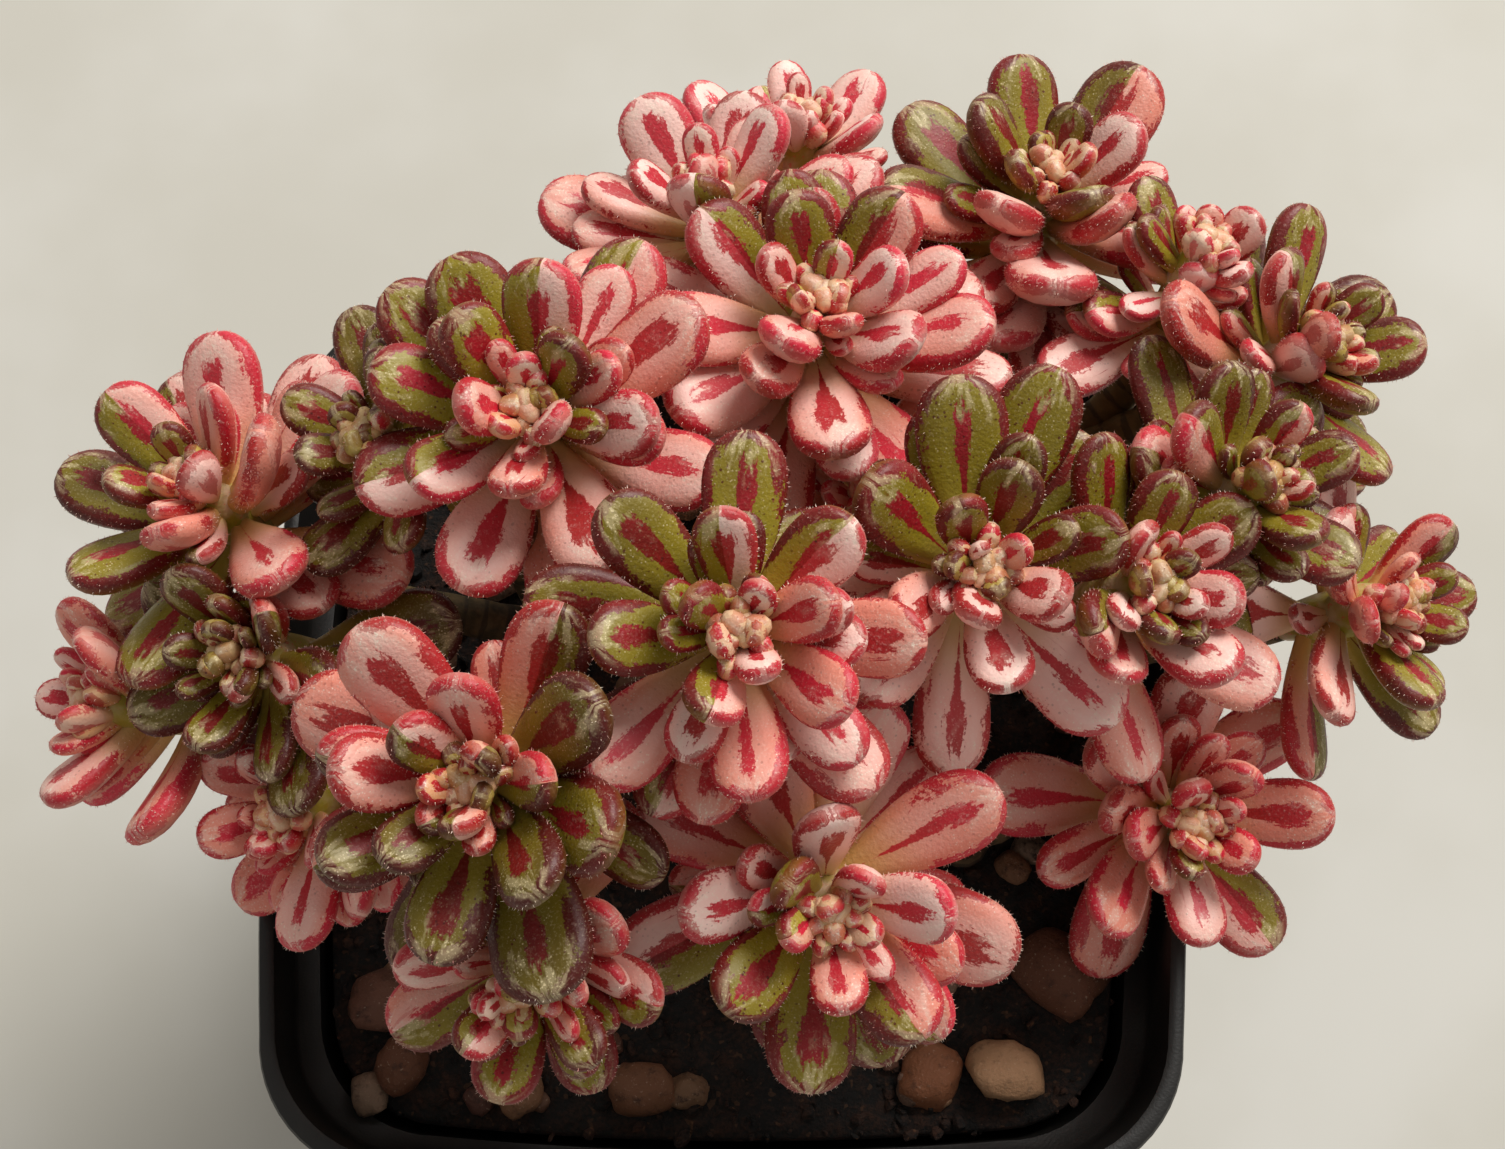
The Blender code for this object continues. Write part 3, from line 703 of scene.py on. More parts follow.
def give(mesh, name, vectors):
    """Stores a vector at each point of a mesh, for its material to read."""
    stored = mesh.attributes.new(name, "FLOAT_VECTOR", "POINT")
    stored.data.foreach_set("vector", np.asarray(vectors, np.float32).ravel())


def hand_over(piece, slot, node=None):
    """Tells the frame what a piece rides on, and hides the CAD node that it stands for. The material slot is
    not used.
    """
    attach(piece, "root")
    if node:
        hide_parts(node)


def settle(obj):
    """Turns an object with modifiers into a plain mesh."""
    graph = bpy.context.evaluated_depsgraph_get()
    finished = bpy.data.meshes.new_from_object(obj.evaluated_get(graph))
    obj.modifiers.clear()
    obj.data = finished
    return obj


def tube_faces(rings, sides, start=0):
    """Faces of a tube of rings of points, each ring after the last, with fans onto a point at each end."""
    faces = []
    for low in range(start, start + (rings - 1) * sides, sides):
        high = low + sides
        faces += [(low + i, low + (i + 1) % sides, high + (i + 1) % sides, high + i) for i in range(sides)]
    foot, tip = start + rings * sides, start + rings * sides + 1
    last = start + (rings - 1) * sides
    faces += [(start + (i + 1) % sides, start + i, foot) for i in range(sides)]
    faces += [(last + i, last + (i + 1) % sides, tip) for i in range(sides)]
    return faces


def tube_rings(path, radii, sides, end=None):
    """Rings along a path, each turned from the one before. The last can face a way of its own."""
    side = (path[1] - path[0]).orthogonal().normalized()
    rings = []
    for i, middle in enumerate(path):
        along = (path[min(i + 1, len(path) - 1)] - path[max(i - 1, 0)]).normalized()
        if end and i == len(path) - 1:
            along = end
        side = (side - along * side.dot(along)).normalized()
        up = along.cross(side)
        ring = []
        for k in range(sides):
            angle = math.tau * k / sides
            ring.append(middle + radii[i] * (math.cos(angle) * side + math.sin(angle) * up))
        rings.append(ring)
    return rings


def smooth_tube(path, radii, sides):
    """Points of a tube along a path, then its two end points."""
    return [point for ring in tube_rings(path, radii, sides) for point in ring] + [path[0], path[-1]]


def closed_solid(rings, split=True):
    """Points and faces of a closed body through rings of equally many points, capped at both ends."""
    sides = len(rings[0])
    points = [point for ring in rings for point in ring]
    faces = []
    for low in range(0, (len(rings) - 1) * sides, sides):
        high = low + sides
        for i in range(sides):
            j = (i + 1) % sides
            if split:
                faces += [(low + i, low + j, high + j), (low + i, high + j, high + i)]
            else:
                faces.append((low + i, low + j, high + j, high + i))
    faces.append(tuple(range(sides))[::-1])
    faces.append(tuple(range(len(points) - sides, len(points))))
    return points, faces


def coarse_tube(path, radii, end=None):
    """A tube of the CAD source."""
    return closed_solid(tube_rings(path, radii, STEM_SIDES, end), split=False)


def ring_body(rings):
    """Points and faces of a closed body through rings, with a flat fan at each end."""
    points = [point for ring in rings for point in ring]
    ends = [sum(ring, Vector()) / len(ring) for ring in (rings[0], rings[-1])]
    return points + ends, tube_faces(len(rings), len(rings[0]))


def square_ring(half, height, corner_points, side_points):
    """A rounded square with slightly bowed sides, counter-clockwise from the +X side."""
    straight = half - SIDE_BOW
    corner = CORNER_SHARE * half
    reach = straight - corner
    ring = []
    for quarter in range(4):
        turn = Matrix.Rotation(math.radians(90 * quarter), 3, "Z")
        for i in range(side_points):
            share = 2 * (i + 0.5) / side_points - 1
            out = straight + SIDE_BOW * (1 - share * share)
            ring.append(turn @ Vector((out, share * reach, height)))
        for i in range(corner_points):
            angle = math.radians(90 * i / (corner_points - 1))
            x, y = reach + corner * math.cos(angle), reach + corner * math.sin(angle)
            ring.append(turn @ Vector((x, y, height)))
    return ring


def outer_half(height):
    """Half the width of the pot's tapered body at a height."""
    return BASE_HALF + (RIM_HALF - LIP_STEP - BASE_HALF) * height / POT_HEIGHT


def soil_half(height):
    return outer_half(height) - POT_WALL - SOIL_CLEAR


def slot_ring(height):
    """The outline of one drainage slot, out from the middle along +X, with round ends."""
    ring = []
    for end, start in ((1, -90), (-1, 90)):
        for i in range(SLOT_END_STEPS + 1):
            angle = math.radians(start + 180 * i / SLOT_END_STEPS)
            x = SLOT_RING + end * (SLOT_LENGTH - SLOT_WIDTH) / 2 + SLOT_WIDTH / 2 * math.cos(angle)
            ring.append(Vector((x, SLOT_WIDTH / 2 * math.sin(angle), height)))
    return ring


def cut_slots(pot):
    """Cuts the drainage slots out of the pot's floor."""
    cutters = bpy.data.collections.new("slots")
    for i in range(SLOTS):
        turn = Matrix.Rotation(math.radians(45 + 360 * i / SLOTS), 3, "Z")
        rings = [[turn @ point for point in slot_ring(height)] for height in (-POT_WALL, 3 * POT_WALL)]
        cutter = mesh_object("slot", *ring_body(rings))
        bpy.context.scene.collection.objects.unlink(cutter)
        cutters.objects.link(cutter)
    modifier = pot.modifiers.new("Slots", "BOOLEAN")
    modifier.operation, modifier.operand_type, modifier.solver = "DIFFERENCE", "COLLECTION", "EXACT"
    modifier.collection = cutters
    settle(pot)
    for cutter in list(cutters.objects):
        bpy.data.objects.remove(cutter, do_unlink=True)
    bpy.data.collections.remove(cutters)


def make_pot(looks):
    """The pot, whose outline goes up its outside, over its rolled rim and down its inside."""
    lip = POT_HEIGHT - LIP_HEIGHT
    inside = RIM_HALF - POT_WALL
    profile = (
        (BASE_HALF - 1.6, 0.0),
        (BASE_HALF - 0.9, 0.08),
        (BASE_HALF - 0.35, 0.45),
        (outer_half(1.2), 1.2),
        (outer_half(lip * 0.5), lip * 0.5),
        (outer_half(lip - 0.3), lip - 0.3),
        (outer_half(lip) + 0.15, lip + 0.05),
        (RIM_HALF - 1.05, lip + 0.3),
        (RIM_HALF - 0.75, lip + 0.6),
        (RIM_HALF - 0.6, lip + 1.1),
        (RIM_HALF - 0.05, POT_HEIGHT - 0.9),
        (RIM_HALF, POT_HEIGHT - 0.5),
        (RIM_HALF - 0.15, POT_HEIGHT - 0.15),
        (RIM_HALF - 0.5, POT_HEIGHT),
        (inside + 0.4, POT_HEIGHT),
        (inside + 0.1, POT_HEIGHT - 0.15),
        (inside, POT_HEIGHT - 0.5),
        (inside - 0.6, lip + 1.1),
        (inside - 1.0, lip + 0.2),
        (outer_half(lip) - POT_WALL, lip - 0.6),
        (outer_half(lip * 0.5) - POT_WALL, lip * 0.5),
        (outer_half(2.4) - POT_WALL, 2.4),
        (outer_half(POT_WALL) - POT_WALL - 0.8, POT_WALL),
    )
    rings = [square_ring(half, height, *POT_POINTS) for half, height in profile]
    pot = mesh_object("nursery_pot", *ring_body(rings), paint_pot(looks))
    cut_slots(pot)
    pot.data.set_sharp_from_angle(angle=math.radians(40))
    hand_over(pot, "pot_plastic", "pot")


def soil_height(x, y):
    """Height of the soil's rough top in millimetres."""
    share = min(1, max(abs(x), abs(y)) / soil_half(SOIL_TOP))
    rough = sum(tall * noise.noise(Vector((x, y, layer)) * scale) for tall, scale, layer in SOIL_LUMPS)
    return SOIL_TOP + SOIL_MOUND * (1 - share**2) + rough * (1 - share**6)


def make_soil(looks):
    floor = POT_WALL + FIT_GAP
    rings = [square_ring(soil_half(floor), floor, *SOIL_POINTS)]
    rings.append(square_ring(soil_half(SOIL_TOP), SOIL_TOP - 0.8, *SOIL_POINTS))
    for level in range(SOIL_LEVELS):
        share = 1 - (level + 0.2) / SOIL_LEVELS
        ring = square_ring(soil_half(SOIL_TOP) * share, 0, *SOIL_POINTS)
        for point in ring:
            point.z = soil_height(point.x, point.y)
        rings.append(ring)
    soil = mesh_object("soil_bed", *ring_body(rings), paint_soil("potting_soil", looks, 0.8))
    hand_over(soil, "potting_soil", "soil")
    return soil


def tree_with_inputs(name, *sizes):
    """An empty geometry tree with a mesh and named numbers going in and a mesh coming out."""
    tree = bpy.data.node_groups.new(name, "GeometryNodeTree")
    tree.interface.new_socket("Mesh", in_out="INPUT", socket_type="NodeSocketGeometry")
    for socket in sizes:
        tree.interface.new_socket(socket, in_out="INPUT", socket_type="NodeSocketFloat")
    tree.interface.new_socket("Mesh", in_out="OUTPUT", socket_type="NodeSocketGeometry")
    nodes = Nodes(tree)
    return nodes, nodes.node("NodeGroupInput")


def finish_tree(nodes, instances, paint):
    """Ends a geometry tree with real meshes in their material."""
    real = nodes.node("GeometryNodeRealizeInstances", None, {0: instances})
    painted = nodes.node("GeometryNodeSetMaterial", None, {"Geometry": real[0], "Material": paint})
    nodes.node("NodeGroupOutput", None, {0: painted[0]})


def scattered(nodes, spread, shape, rotation, scale):
    """A shape set at each point that a tree has spread over a surface."""
    sockets = {"Points": spread[0], "Instance": shape[0], "Rotation": rotation, "Scale": scale}
    return nodes.node("GeometryNodeInstanceOnPoints", None, sockets)[0]


def grow_on(name, surface, nodes, sizes):
    """A plain mesh grown over a surface mesh by a geometry tree, with the tree's named sizes."""
    made = linked(name, surface)
    modifier = made.modifiers.new(name, "NODES")
    modifier.node_group = nodes.tree
    for item in nodes.tree.interface.items_tree:
        if item.in_out == "INPUT" and item.name in sizes:
            modifier[item.identifier] = sizes[item.name]
    settle(made)
    made.data.name = name
    return made


def crumb_tree(paint):
    """Rough crumbs of many sizes, scattered over the faces that look up."""
    nodes, inputs = tree_with_inputs("soil_crumbs", "Density", "Size")
    up = nodes.parts(nodes.node("GeometryNodeInputNormal")[0])[2]
    sockets = {"Mesh": inputs["Mesh"], "Selection": up.above(0.5), "Density": inputs["Density"], "Seed": 4}
    spread = nodes.node("GeometryNodeDistributePointsOnFaces", None, sockets)
    ball = nodes.node("GeometryNodeMeshUVSphere", None, {"Segments": 7, "Rings": 5, "Radius": 1.0})
    turn = nodes.any_vector((0, 0, 0), (6.3, 6.3, 6.3), seed=1)
    flat = nodes.any_vector((0.5, 0.4, 0.3), (1.3, 0.9, 0.8), seed=2)
    luck = nodes.luck(seed=3)
    size = (0.22 + 0.78 * luck * luck * luck) * inputs.value("Size")
    crumbs = scattered(nodes, spread, ball, turn, nodes.scaled(flat, size))
    real = nodes.node("GeometryNodeRealizeInstances", None, {0: crumbs})
    knock = nodes.node("ShaderNodeTexNoise", None, {"Scale": 900.0, "Detail": 1.0})
    middle = {0: knock["Color"], 1: (0.5, 0.5, 0.5)}
    shift = nodes.node("ShaderNodeVectorMath", {"operation": "SUBTRACT"}, middle)
    offset = {"Geometry": real[0], "Offset": nodes.scaled(shift[0], CRUMB_KNOCK)}
    moved = nodes.node("GeometryNodeSetPosition", None, offset)
    finish_tree(nodes, moved[0], paint)
    return nodes


def make_crumbs(soil, looks):
    tree = crumb_tree(paint_soil("soil_crumb", looks, 1.6))
    density = looks.crumbs / (2 * soil_half(SOIL_TOP) * MM) ** 2
    crumbs = grow_on("soil_crumbs", soil.data, tree, {"Density": density, "Size": looks.crumb_size})
    hand_over(crumbs, "potting_soil")


def stone_points(draw, place, radius):
    """An angular stone as points and faces, knocked out of a ball by noise."""
    spin, tilt = draw.uniform(0, math.tau), draw.uniform(-0.5, 0.5)
    turn = Matrix.Rotation(spin, 3, "Z") @ Matrix.Rotation(tilt, 3, "X")
    seed = Vector((draw.uniform(0, 99), draw.uniform(0, 99), 0))
    shape = bmesh.new()
    bmesh.ops.create_icosphere(shape, subdivisions=3, radius=1.0)
    wide, deep, tall = STONE_STRETCH
    points = []
    for vertex in shape.verts:
        way = vertex.co
        corner = max(abs(way.dot(face)) for face in STONE_FACES)
        knock = 0.9 / (0.35 + 0.65 * corner)
        for bump, scale in STONE_BUMPS:
            knock += bump * noise.noise(way * scale + seed)
        x, y, z = way * (radius * knock)
        points.append(turn @ Vector((x * wide, y * deep, z * tall)) + place)
    faces = [[vertex.index for vertex in face.verts] for face in shape.faces]
    shape.free()
    return points, faces


def grit_places(draw):
    """Each large stone's x, y and radius, as in the CAD source."""
    places = list(GRIT_PLACED)
    for i in range(GRIT_STONES):
        radius = draw.uniform(*GRIT_RADIUS)
        around = math.radians(GOLDEN_ANGLE * i + 20)
        out = GRIT_REACH * math.sqrt((i + 0.8) / GRIT_STONES) * (1 - 0.1 * math.cos(4 * around))
        here = Vector((out * math.cos(around), out * math.sin(around)))
        taken = [stem[0] for stem in STEMS.values()] + [place[:2] for place in places]
        if all((here - Vector(other)).length > GRIT_APART for other in taken):
            places.append((*here, radius))
    return places


def make_grit():
    """The large grit where the CAD source has it, and smaller loose grit between it."""
    draw = random.Random(GRIT_SEED)
    for _ in range(SOIL_DRAWS):
        draw.random()
    stones = [(*place, GRIT_PROUD) for place in grit_places(draw)]
    reach = soil_half(SOIL_TOP) - LOOSE_EDGE
    for _ in range(LOOSE_STONES):
        x, y = draw.uniform(-reach, reach), draw.uniform(-reach, reach)
        stones.append((x, y, draw.uniform(*LOOSE_RADIUS), LOOSE_PROUD))
    points, faces, tints = [], [], []
    for i, (x, y, radius, proud) in enumerate(stones):
        if any((Vector((x, y)) - Vector(stem[0])).length < radius + STEM_ROOM for stem in STEMS.values()):
            continue
        place = Vector((x, y, soil_height(x, y) + proud * radius))
        shape, sides = stone_points(draw, place, radius)
        faces += [[k + len(points) for k in side] for side in sides]
        points += shape
        tint, wet = draw.random(), 0.45 + draw.random() * 0.4
        if i < len(GRIT_TINTS):
            tint, wet = GRIT_TINTS[i]
        tints += [(tint, wet, 0)] * len(shape)
    grit = mesh_object("grit_stones", points, faces, paint_grit())
    give(grit.data, "stone", tints)
    hand_over(grit, "potting_soil")


def head_axis(name):
    """The way that a head's shoot grows."""
    lean, toward = (math.radians(angle) for angle in HEADS[name][1:3])
    return Vector((math.sin(lean) * math.cos(toward), math.sin(lean) * math.sin(toward), math.cos(lean)))


def up_shoot(name, height):
    """The point on a head's shoot at a height above its heart."""
    return Vector(HEADS[name][0]) + head_axis(name) * height


def bezier(a, b, c, d, count):
    points = []
    for i in range(count):
        t = i / (count - 1)
        s = 1 - t
        points.append(a * s**3 + b * 3 * s * s * t + c * 3 * s * t * t + d * t**3)
    return points


def branch(place, fork, head, rings):
    """Middle line and radii of a branch, from inside the trunk's top to just under a head's shoot."""
    axis = head_axis(head)
    start = Vector((*place, fork - 1.5))
    end = Vector(HEADS[head][0]) - axis * (SHOOT_LENGTH + FIT_GAP)
    pull = (end - start).length * 0.4
    path = bezier(start, start + Vector((0, 0, 1)) * pull * 0.7, end - axis * pull, end, rings)
    thick, thin = BRANCH_RADIUS
    return path, [thick + (thin - thick) * i / (rings - 1) for i in range(rings)]


def bark_tube(path, radii, seed):
    """A tube with swollen joints where leaves once stood, and how far along it each point is."""
    lengths = [0.0]
    for a, b in zip(path, path[1:]):
        lengths.append(lengths[-1] + (b - a).length)
    swollen = []
    for radius, run in zip(radii, lengths):
        knot = 0.03 * math.sin(run * 2.1 + seed) + 0.1 * noise.noise(Vector((run * 0.7, seed, 0)))
        swollen.append(radius * (1 + knot))
    runs = [run for run in lengths for _ in range(FINE_SIDES)] + [lengths[0], lengths[-1]]
    return smooth_tube(path, swollen, FINE_SIDES), tube_faces(len(path), FINE_SIDES), runs


def make_stems():
    """Each forked stem: a bark covered trunk and a branch to each of its heads."""
    bark = paint_bark()
    for order, (name, (place, fork, heads)) in enumerate(STEMS.items()):
        foot, top = SOIL_TOP - STEM_DEPTH, fork + 0.8
        last = TRUNK_RINGS - 1
        trunk = [Vector((*place, foot + (top - foot) * i / last)) for i in range(TRUNK_RINGS)]
        radii = [TRUNK_RADIUS * (0.95 - 0.15 * max(0, i - last + 3)) for i in range(TRUNK_RINGS)]
        routes = [(trunk, radii)] + [branch(place, fork, head, FINE_BRANCH_RINGS) for head in heads]
        points, faces, runs = [], [], []
        for k, (route, widths) in enumerate(routes):
            tube, sides, run = bark_tube(route, widths, order * 5 + k)
            faces += [tuple(i + len(points) for i in side) for side in sides]
            points += tube
            runs += [(r + (BRANCH_RUN if k else 0), 0, 0) for r in run]
        stem = mesh_object(name.replace("stem", "woody_stem"), points, faces, bark)
        give(stem.data, "place", runs)
        hand_over(stem, "stem_bark", name)


def leaf_width(s):
    """Share of a leaf's full width at share s of its length: a narrow neck, then a round spoon."""
    if s < WIDEST_AT:
        return NECK_WIDTH + (1 - NECK_WIDTH) * math.sin(math.pi / 2 * s / WIDEST_AT) ** 1.4
    return math.sqrt(max(0.0, 1 - ((s - WIDEST_AT) / (1 - WIDEST_AT)) ** 2))


def leaf_thickness(s):
    if s < WIDEST_AT:
        return NECK_THICKNESS + (1 - NECK_THICKNESS) * math.sin(math.pi / 2 * s / WIDEST_AT)
    return leaf_width(s) ** 0.8


def plump_width(s):
    """As leaf_width, with a fuller foot and a blunter tip."""
    if s < WIDEST_AT:
        return max(leaf_width(s), FOOT_WIDTH)
    inner, outer = TIP_BLUNTNESS
    return max(0.0, 1 - ((s - WIDEST_AT) / (1 - WIDEST_AT)) ** inner) ** (1 / outer)


def leaf_frame(axis, spin, opening, roll):
    """A leaf's direction, its upper side's normal and its width's direction."""
    right = Vector((1, 0, 0))
    side = (right - axis * right.dot(axis)).normalized()
    out = Matrix.Rotation(math.radians(spin), 3, axis) @ side
    opening = math.radians(opening)
    along = axis * math.cos(opening) + out * math.sin(opening)
    normal = axis * math.sin(opening) - out * math.cos(opening)
    normal = Matrix.Rotation(math.radians(roll), 3, along) @ normal
    return along, normal, along.cross(normal)


def leaf_solid(root, ways, size, stations, grow=0.0):
    """A leaf of the CAD source: four-sided rings along a line that arches towards its upper side."""
    along, normal, across = ways
    length, width, thickness, bend = size
    arch = math.radians(bend)
    rings = []
    for s in stations:
        angle = arch * s
        path = along * (math.sin(angle) / arch) + normal * ((1 - math.cos(angle)) / arch)
        middle = root + path * length
        up = normal * math.cos(angle) - along * math.sin(angle)
        aside = across * (width / 2 * leaf_width(s) + grow)
        deep = up * (thickness * leaf_thickness(s) + 2 * grow)
        top, bottom = middle + deep * UPPER_SHARE, middle - deep * (1 - UPPER_SHARE)
        rings.append([middle - aside, top, middle + aside, bottom])
    return closed_solid(rings)


def leaf_skin(root, ways, size, sides, stations):
    """Points of a plump leaf, and across, along and under for each."""
    along, normal, across = (np.array(way) for way in ways)
    length, width, thickness, bend = size
    s = np.array(stations)
    arch = math.radians(bend)
    path = along * (np.sin(arch * s) / arch)[:, None] + normal * ((1 - np.cos(arch * s)) / arch)[:, None]
    middle = np.array(root) + path * length
    up = normal * np.cos(arch * s)[:, None] - along * np.sin(arch * s)[:, None]
    small = max(0.0, 1 - length / PLUMP_BELOW)
    half = np.array([plump_width(x) for x in s]) * width / 2 * (NARROWER[0] - NARROWER[1] * small)
    deep = np.array([leaf_thickness(x) for x in s]) * thickness * (FULLER[0] + FULLER[1] * small)
    angle = math.pi - math.tau * np.arange(sides) / sides
    x, z = np.cos(angle), np.sin(angle)
    curve = np.abs(z) ** SECTION_POWER
    rise = np.where(z > 0, SECTION_TOP * curve, -SECTION_BOTTOM * curve)[None, :] * deep[:, None]
    groove = np.exp(-((x / GROOVE[0]) ** 2))[None, :] * (GROOVE[1] * (1 - s) * deep)[:, None]
    cup = (x**2)[None, :] * (CUP * half * np.sin(np.pi * s))[:, None]
    offset = rise - groove * (z > 0.1)[None, :] + cup
    points = middle[:, None] + across * (half[:, None] * x)[..., None] + up[:, None] * offset[..., None]
    tip = np.array(root) + (along * math.sin(arch) / arch + normal * (1 - math.cos(arch)) / arch) * length
    places = np.zeros((len(s), sides, 3))
    places[..., 0], places[..., 1], places[..., 2] = x, s[:, None], (z < -0.05)
    every = np.concatenate([points.reshape(-1, 3), [np.array(root), tip]])
    about = np.concatenate([places.reshape(-1, 3), [(0, 0, 0), (0, 1, 0)]])
    return every, about


def opening_at(t):
    """How far a leaf of age t opens off its shoot: 0 is the lowest and 1 the youngest."""
    return OPEN_OUTER + (OPEN_INNER - OPEN_OUTER) * t**0.85


def length_at(reach, t):
    return reach * (1 - 0.76 * t**1.9)


def foot_height(t):
    """Where a leaf of age t stands on its shoot, from the heart."""
    return -LEAFY_LENGTH + (LEAFY_LENGTH - 0.4) * t


def leaf_plan(name):
    """Each leaf of a head before it is moved clear: age, foot, turn, opening, roll, sizes and bend."""
    spin, count, reach = HEADS[name][3:]
    draw = random.Random(name)
    for i in range(count):
        t = i / (count - 1)
        turn = spin + GOLDEN_ANGLE * i + draw.uniform(-7, 7)
        opening = opening_at(t) + draw.uniform(-6, 6)
        length = length_at(reach, t) * draw.uniform(0.9, 1.05)
        width = length * LEAF_WIDTH * (1 + 0.15 * t) * draw.uniform(0.93, 1.07)
        thickness = width * LEAF_THICKNESS * (1 + 0.35 * t)
        bend = LEAF_BEND * draw.uniform(0.5, 1.4)
        roll = draw.uniform(-12, 12)
        yield t, up_shoot(name, foot_height(t)), turn, opening, roll, length, width, thickness, bend


def bud_leaves(name):
    """The young leaves and round buds in a head's heart: age, turn, root, ways and size of each."""
    spin, count, reach = HEADS[name][3:]
    draw = random.Random(name + " buds")
    for many, *changing, slender, bend in (YOUNG_LEAVES, BUDS):
        for i in range(many):
            t = i / many
            turn = spin + GOLDEN_ANGLE * count + draw.uniform(-10, 10)
            count += 1
            opening, length, rise = (first + gain * t for first, gain in changing)
            width = length * slender
            length *= draw.uniform(0.85, 1.12) * (0.6 + reach / 40)
            opening += draw.uniform(-7, 7)
            ways = leaf_frame(head_axis(name), turn, opening, draw.uniform(-12, 12))
            root = up_shoot(name, rise) + ways[0] * BUD_ROOT_OUT
            yield 1.0 + t, turn, root, ways, (length, width, width * BUD_THICKNESS, bend)


def box_of(points):
    return [[end(p[k] for p in points) for k in range(3)] for end in (min, max)]


class Obstacles:
    """Everything already placed, each as a search tree with its box, to test a new leaf against."""

    def __init__(self):
        self.placed = []

    def add(self, points, faces, owner):
        self.placed.append((BVHTree.FromPolygons(points, faces), box_of(points), owner))

    def touched(self, points, faces, skip=None):
        low, high = box_of(points)
        tree = None
        for other, (other_low, other_high), owner in self.placed:
            if owner == skip or any(low[k] > other_high[k] or high[k] < other_low[k] for k in range(3)):
                continue
            tree = tree or BVHTree.FromPolygons(points, faces)
            if tree.overlap(other):
                return True
        return False


def standing_bodies():
    """What stood before the first leaf: pot, soil, stems and shoots, in the CAD source's order."""
    bodies = Obstacles()
    for name in ("pot", "soil"):
        mesh = frame["nodes"][name].data
        points = [vertex.co / MM for vertex in mesh.vertices]
        bodies.add(points, [tuple(face.vertices) for face in mesh.polygons], name)
    for name, (place, fork, heads) in STEMS.items():
        path = [Vector((*place, z)) for z in (SOIL_TOP - STEM_DEPTH, SOIL_TOP, fork - 1, fork + 0.8)]
        radii = (TRUNK_RADIUS * 0.9, TRUNK_RADIUS, TRUNK_RADIUS, TRUNK_RADIUS * 0.75)
        bodies.add(*coarse_tube(path, radii), name)
        for head in heads:
            bodies.add(*coarse_tube(*branch(place, fork, head, BRANCH_RINGS), end=head_axis(head)), name)
    for name in HEADS:
        path = [up_shoot(name, height) for height, _ in SHOOT_STATIONS]
        bodies.add(*coarse_tube(path, [radius for _, radius in SHOOT_STATIONS]), name)
    return bodies


def settled(name, root, ways, size, stations, clear, bodies, blades):
    """Whether a leaf is clear of all that stands already. It then stands there too."""
    whole = leaf_solid(root, ways, size, stations, clear)
    blade = leaf_solid(root, ways, size, stations[1:])
    if bodies.touched(*whole, skip=name) or blades.touched(*blade):
        return False
    blades.add(*blade, name)
    bodies.add(*leaf_solid(root, ways, size, stations), name)
    return True


def place_leaves(name, bodies):
    """The leaves of one head where the CAD source puts them: age, turn, root, ways and size of each."""
    axis = head_axis(name)
    blades = Obstacles()
    for t, foot, turn, opening, roll, length, width, thickness, bend in leaf_plan(name):
        sideways = math.sin(math.radians(opening))
        if length < BEAD_LENGTH:
            ways = leaf_frame(axis, turn, opening, roll)
            root = foot + ways[0] * LEAF_ROOT_OUT * sideways
            yield t, turn, root, ways, (length, width * 1.2, thickness * 1.2, bend)
            continue
        stations = STATIONS if length > SMALL_LEAF else SMALL_STATIONS
        for aside, lift, share in CLEARING:
            ways = leaf_frame(axis, turn + aside, opening - lift, roll)
            root = foot + ways[0] * LEAF_ROOT_OUT * sideways
            size = (length * share, width * share**0.6, thickness * share**0.6, bend)
            if settled(name, root, ways, size, stations, LEAF_CLEAR, bodies, blades):
                yield t, turn + aside, root, ways, size
                break


def gap_draws(name, draw):
    """Sides, ages, openings and lengths to try for a head's added leaves, the sprawling ones first."""
    reach = HEADS[name][5]
    for toward, length in SPRAWLING.get(name, ()):
        for shorter in (1.0, 0.9, 0.8, 0.7):
            for aside in (0, 8, -8, 16, -16):
                yield toward + aside, 0.05, draw.uniform(84, 98), length * shorter
    for _ in range(GAP_TRIES):
        t = draw.uniform(0.0 if name in FULL_HEADS else 0.3, 0.9)
        opening = opening_at(t) + draw.uniform(-16, 20)
        yield draw.uniform(0, 360), t, opening, max(4.5, length_at(reach, t) * draw.uniform(0.55, 0.95))


def gap_leaves(name, placed, bodies):
    """Leaves that fill a head's gaps, each kept only where it is clear of all that stands already."""
    draw = random.Random(name + " gaps")
    axis = head_axis(name)
    blades = Obstacles()
    for _, _, root, ways, size in placed:
        blades.add(*leaf_solid(root, ways, size, STATIONS[1:]), name)
    found = 0
    for turn, t, opening, length in gap_draws(name, draw):
        width = length * LEAF_WIDTH * draw.uniform(0.85, 1.0)
        size = (length, width, width * LEAF_THICKNESS * (1 + 0.5 * t), LEAF_BEND * draw.uniform(0.5, 1.4))
        ways = leaf_frame(axis, turn, opening, draw.uniform(-20, 20))
        root = up_shoot(name, foot_height(t)) + ways[0] * LEAF_ROOT_OUT
        if found < GAP_LEAVES and settled(name, root, ways, size, STATIONS, GAP_CLEAR, bodies, blades):
            found += 1
            yield t, turn, root, ways, size


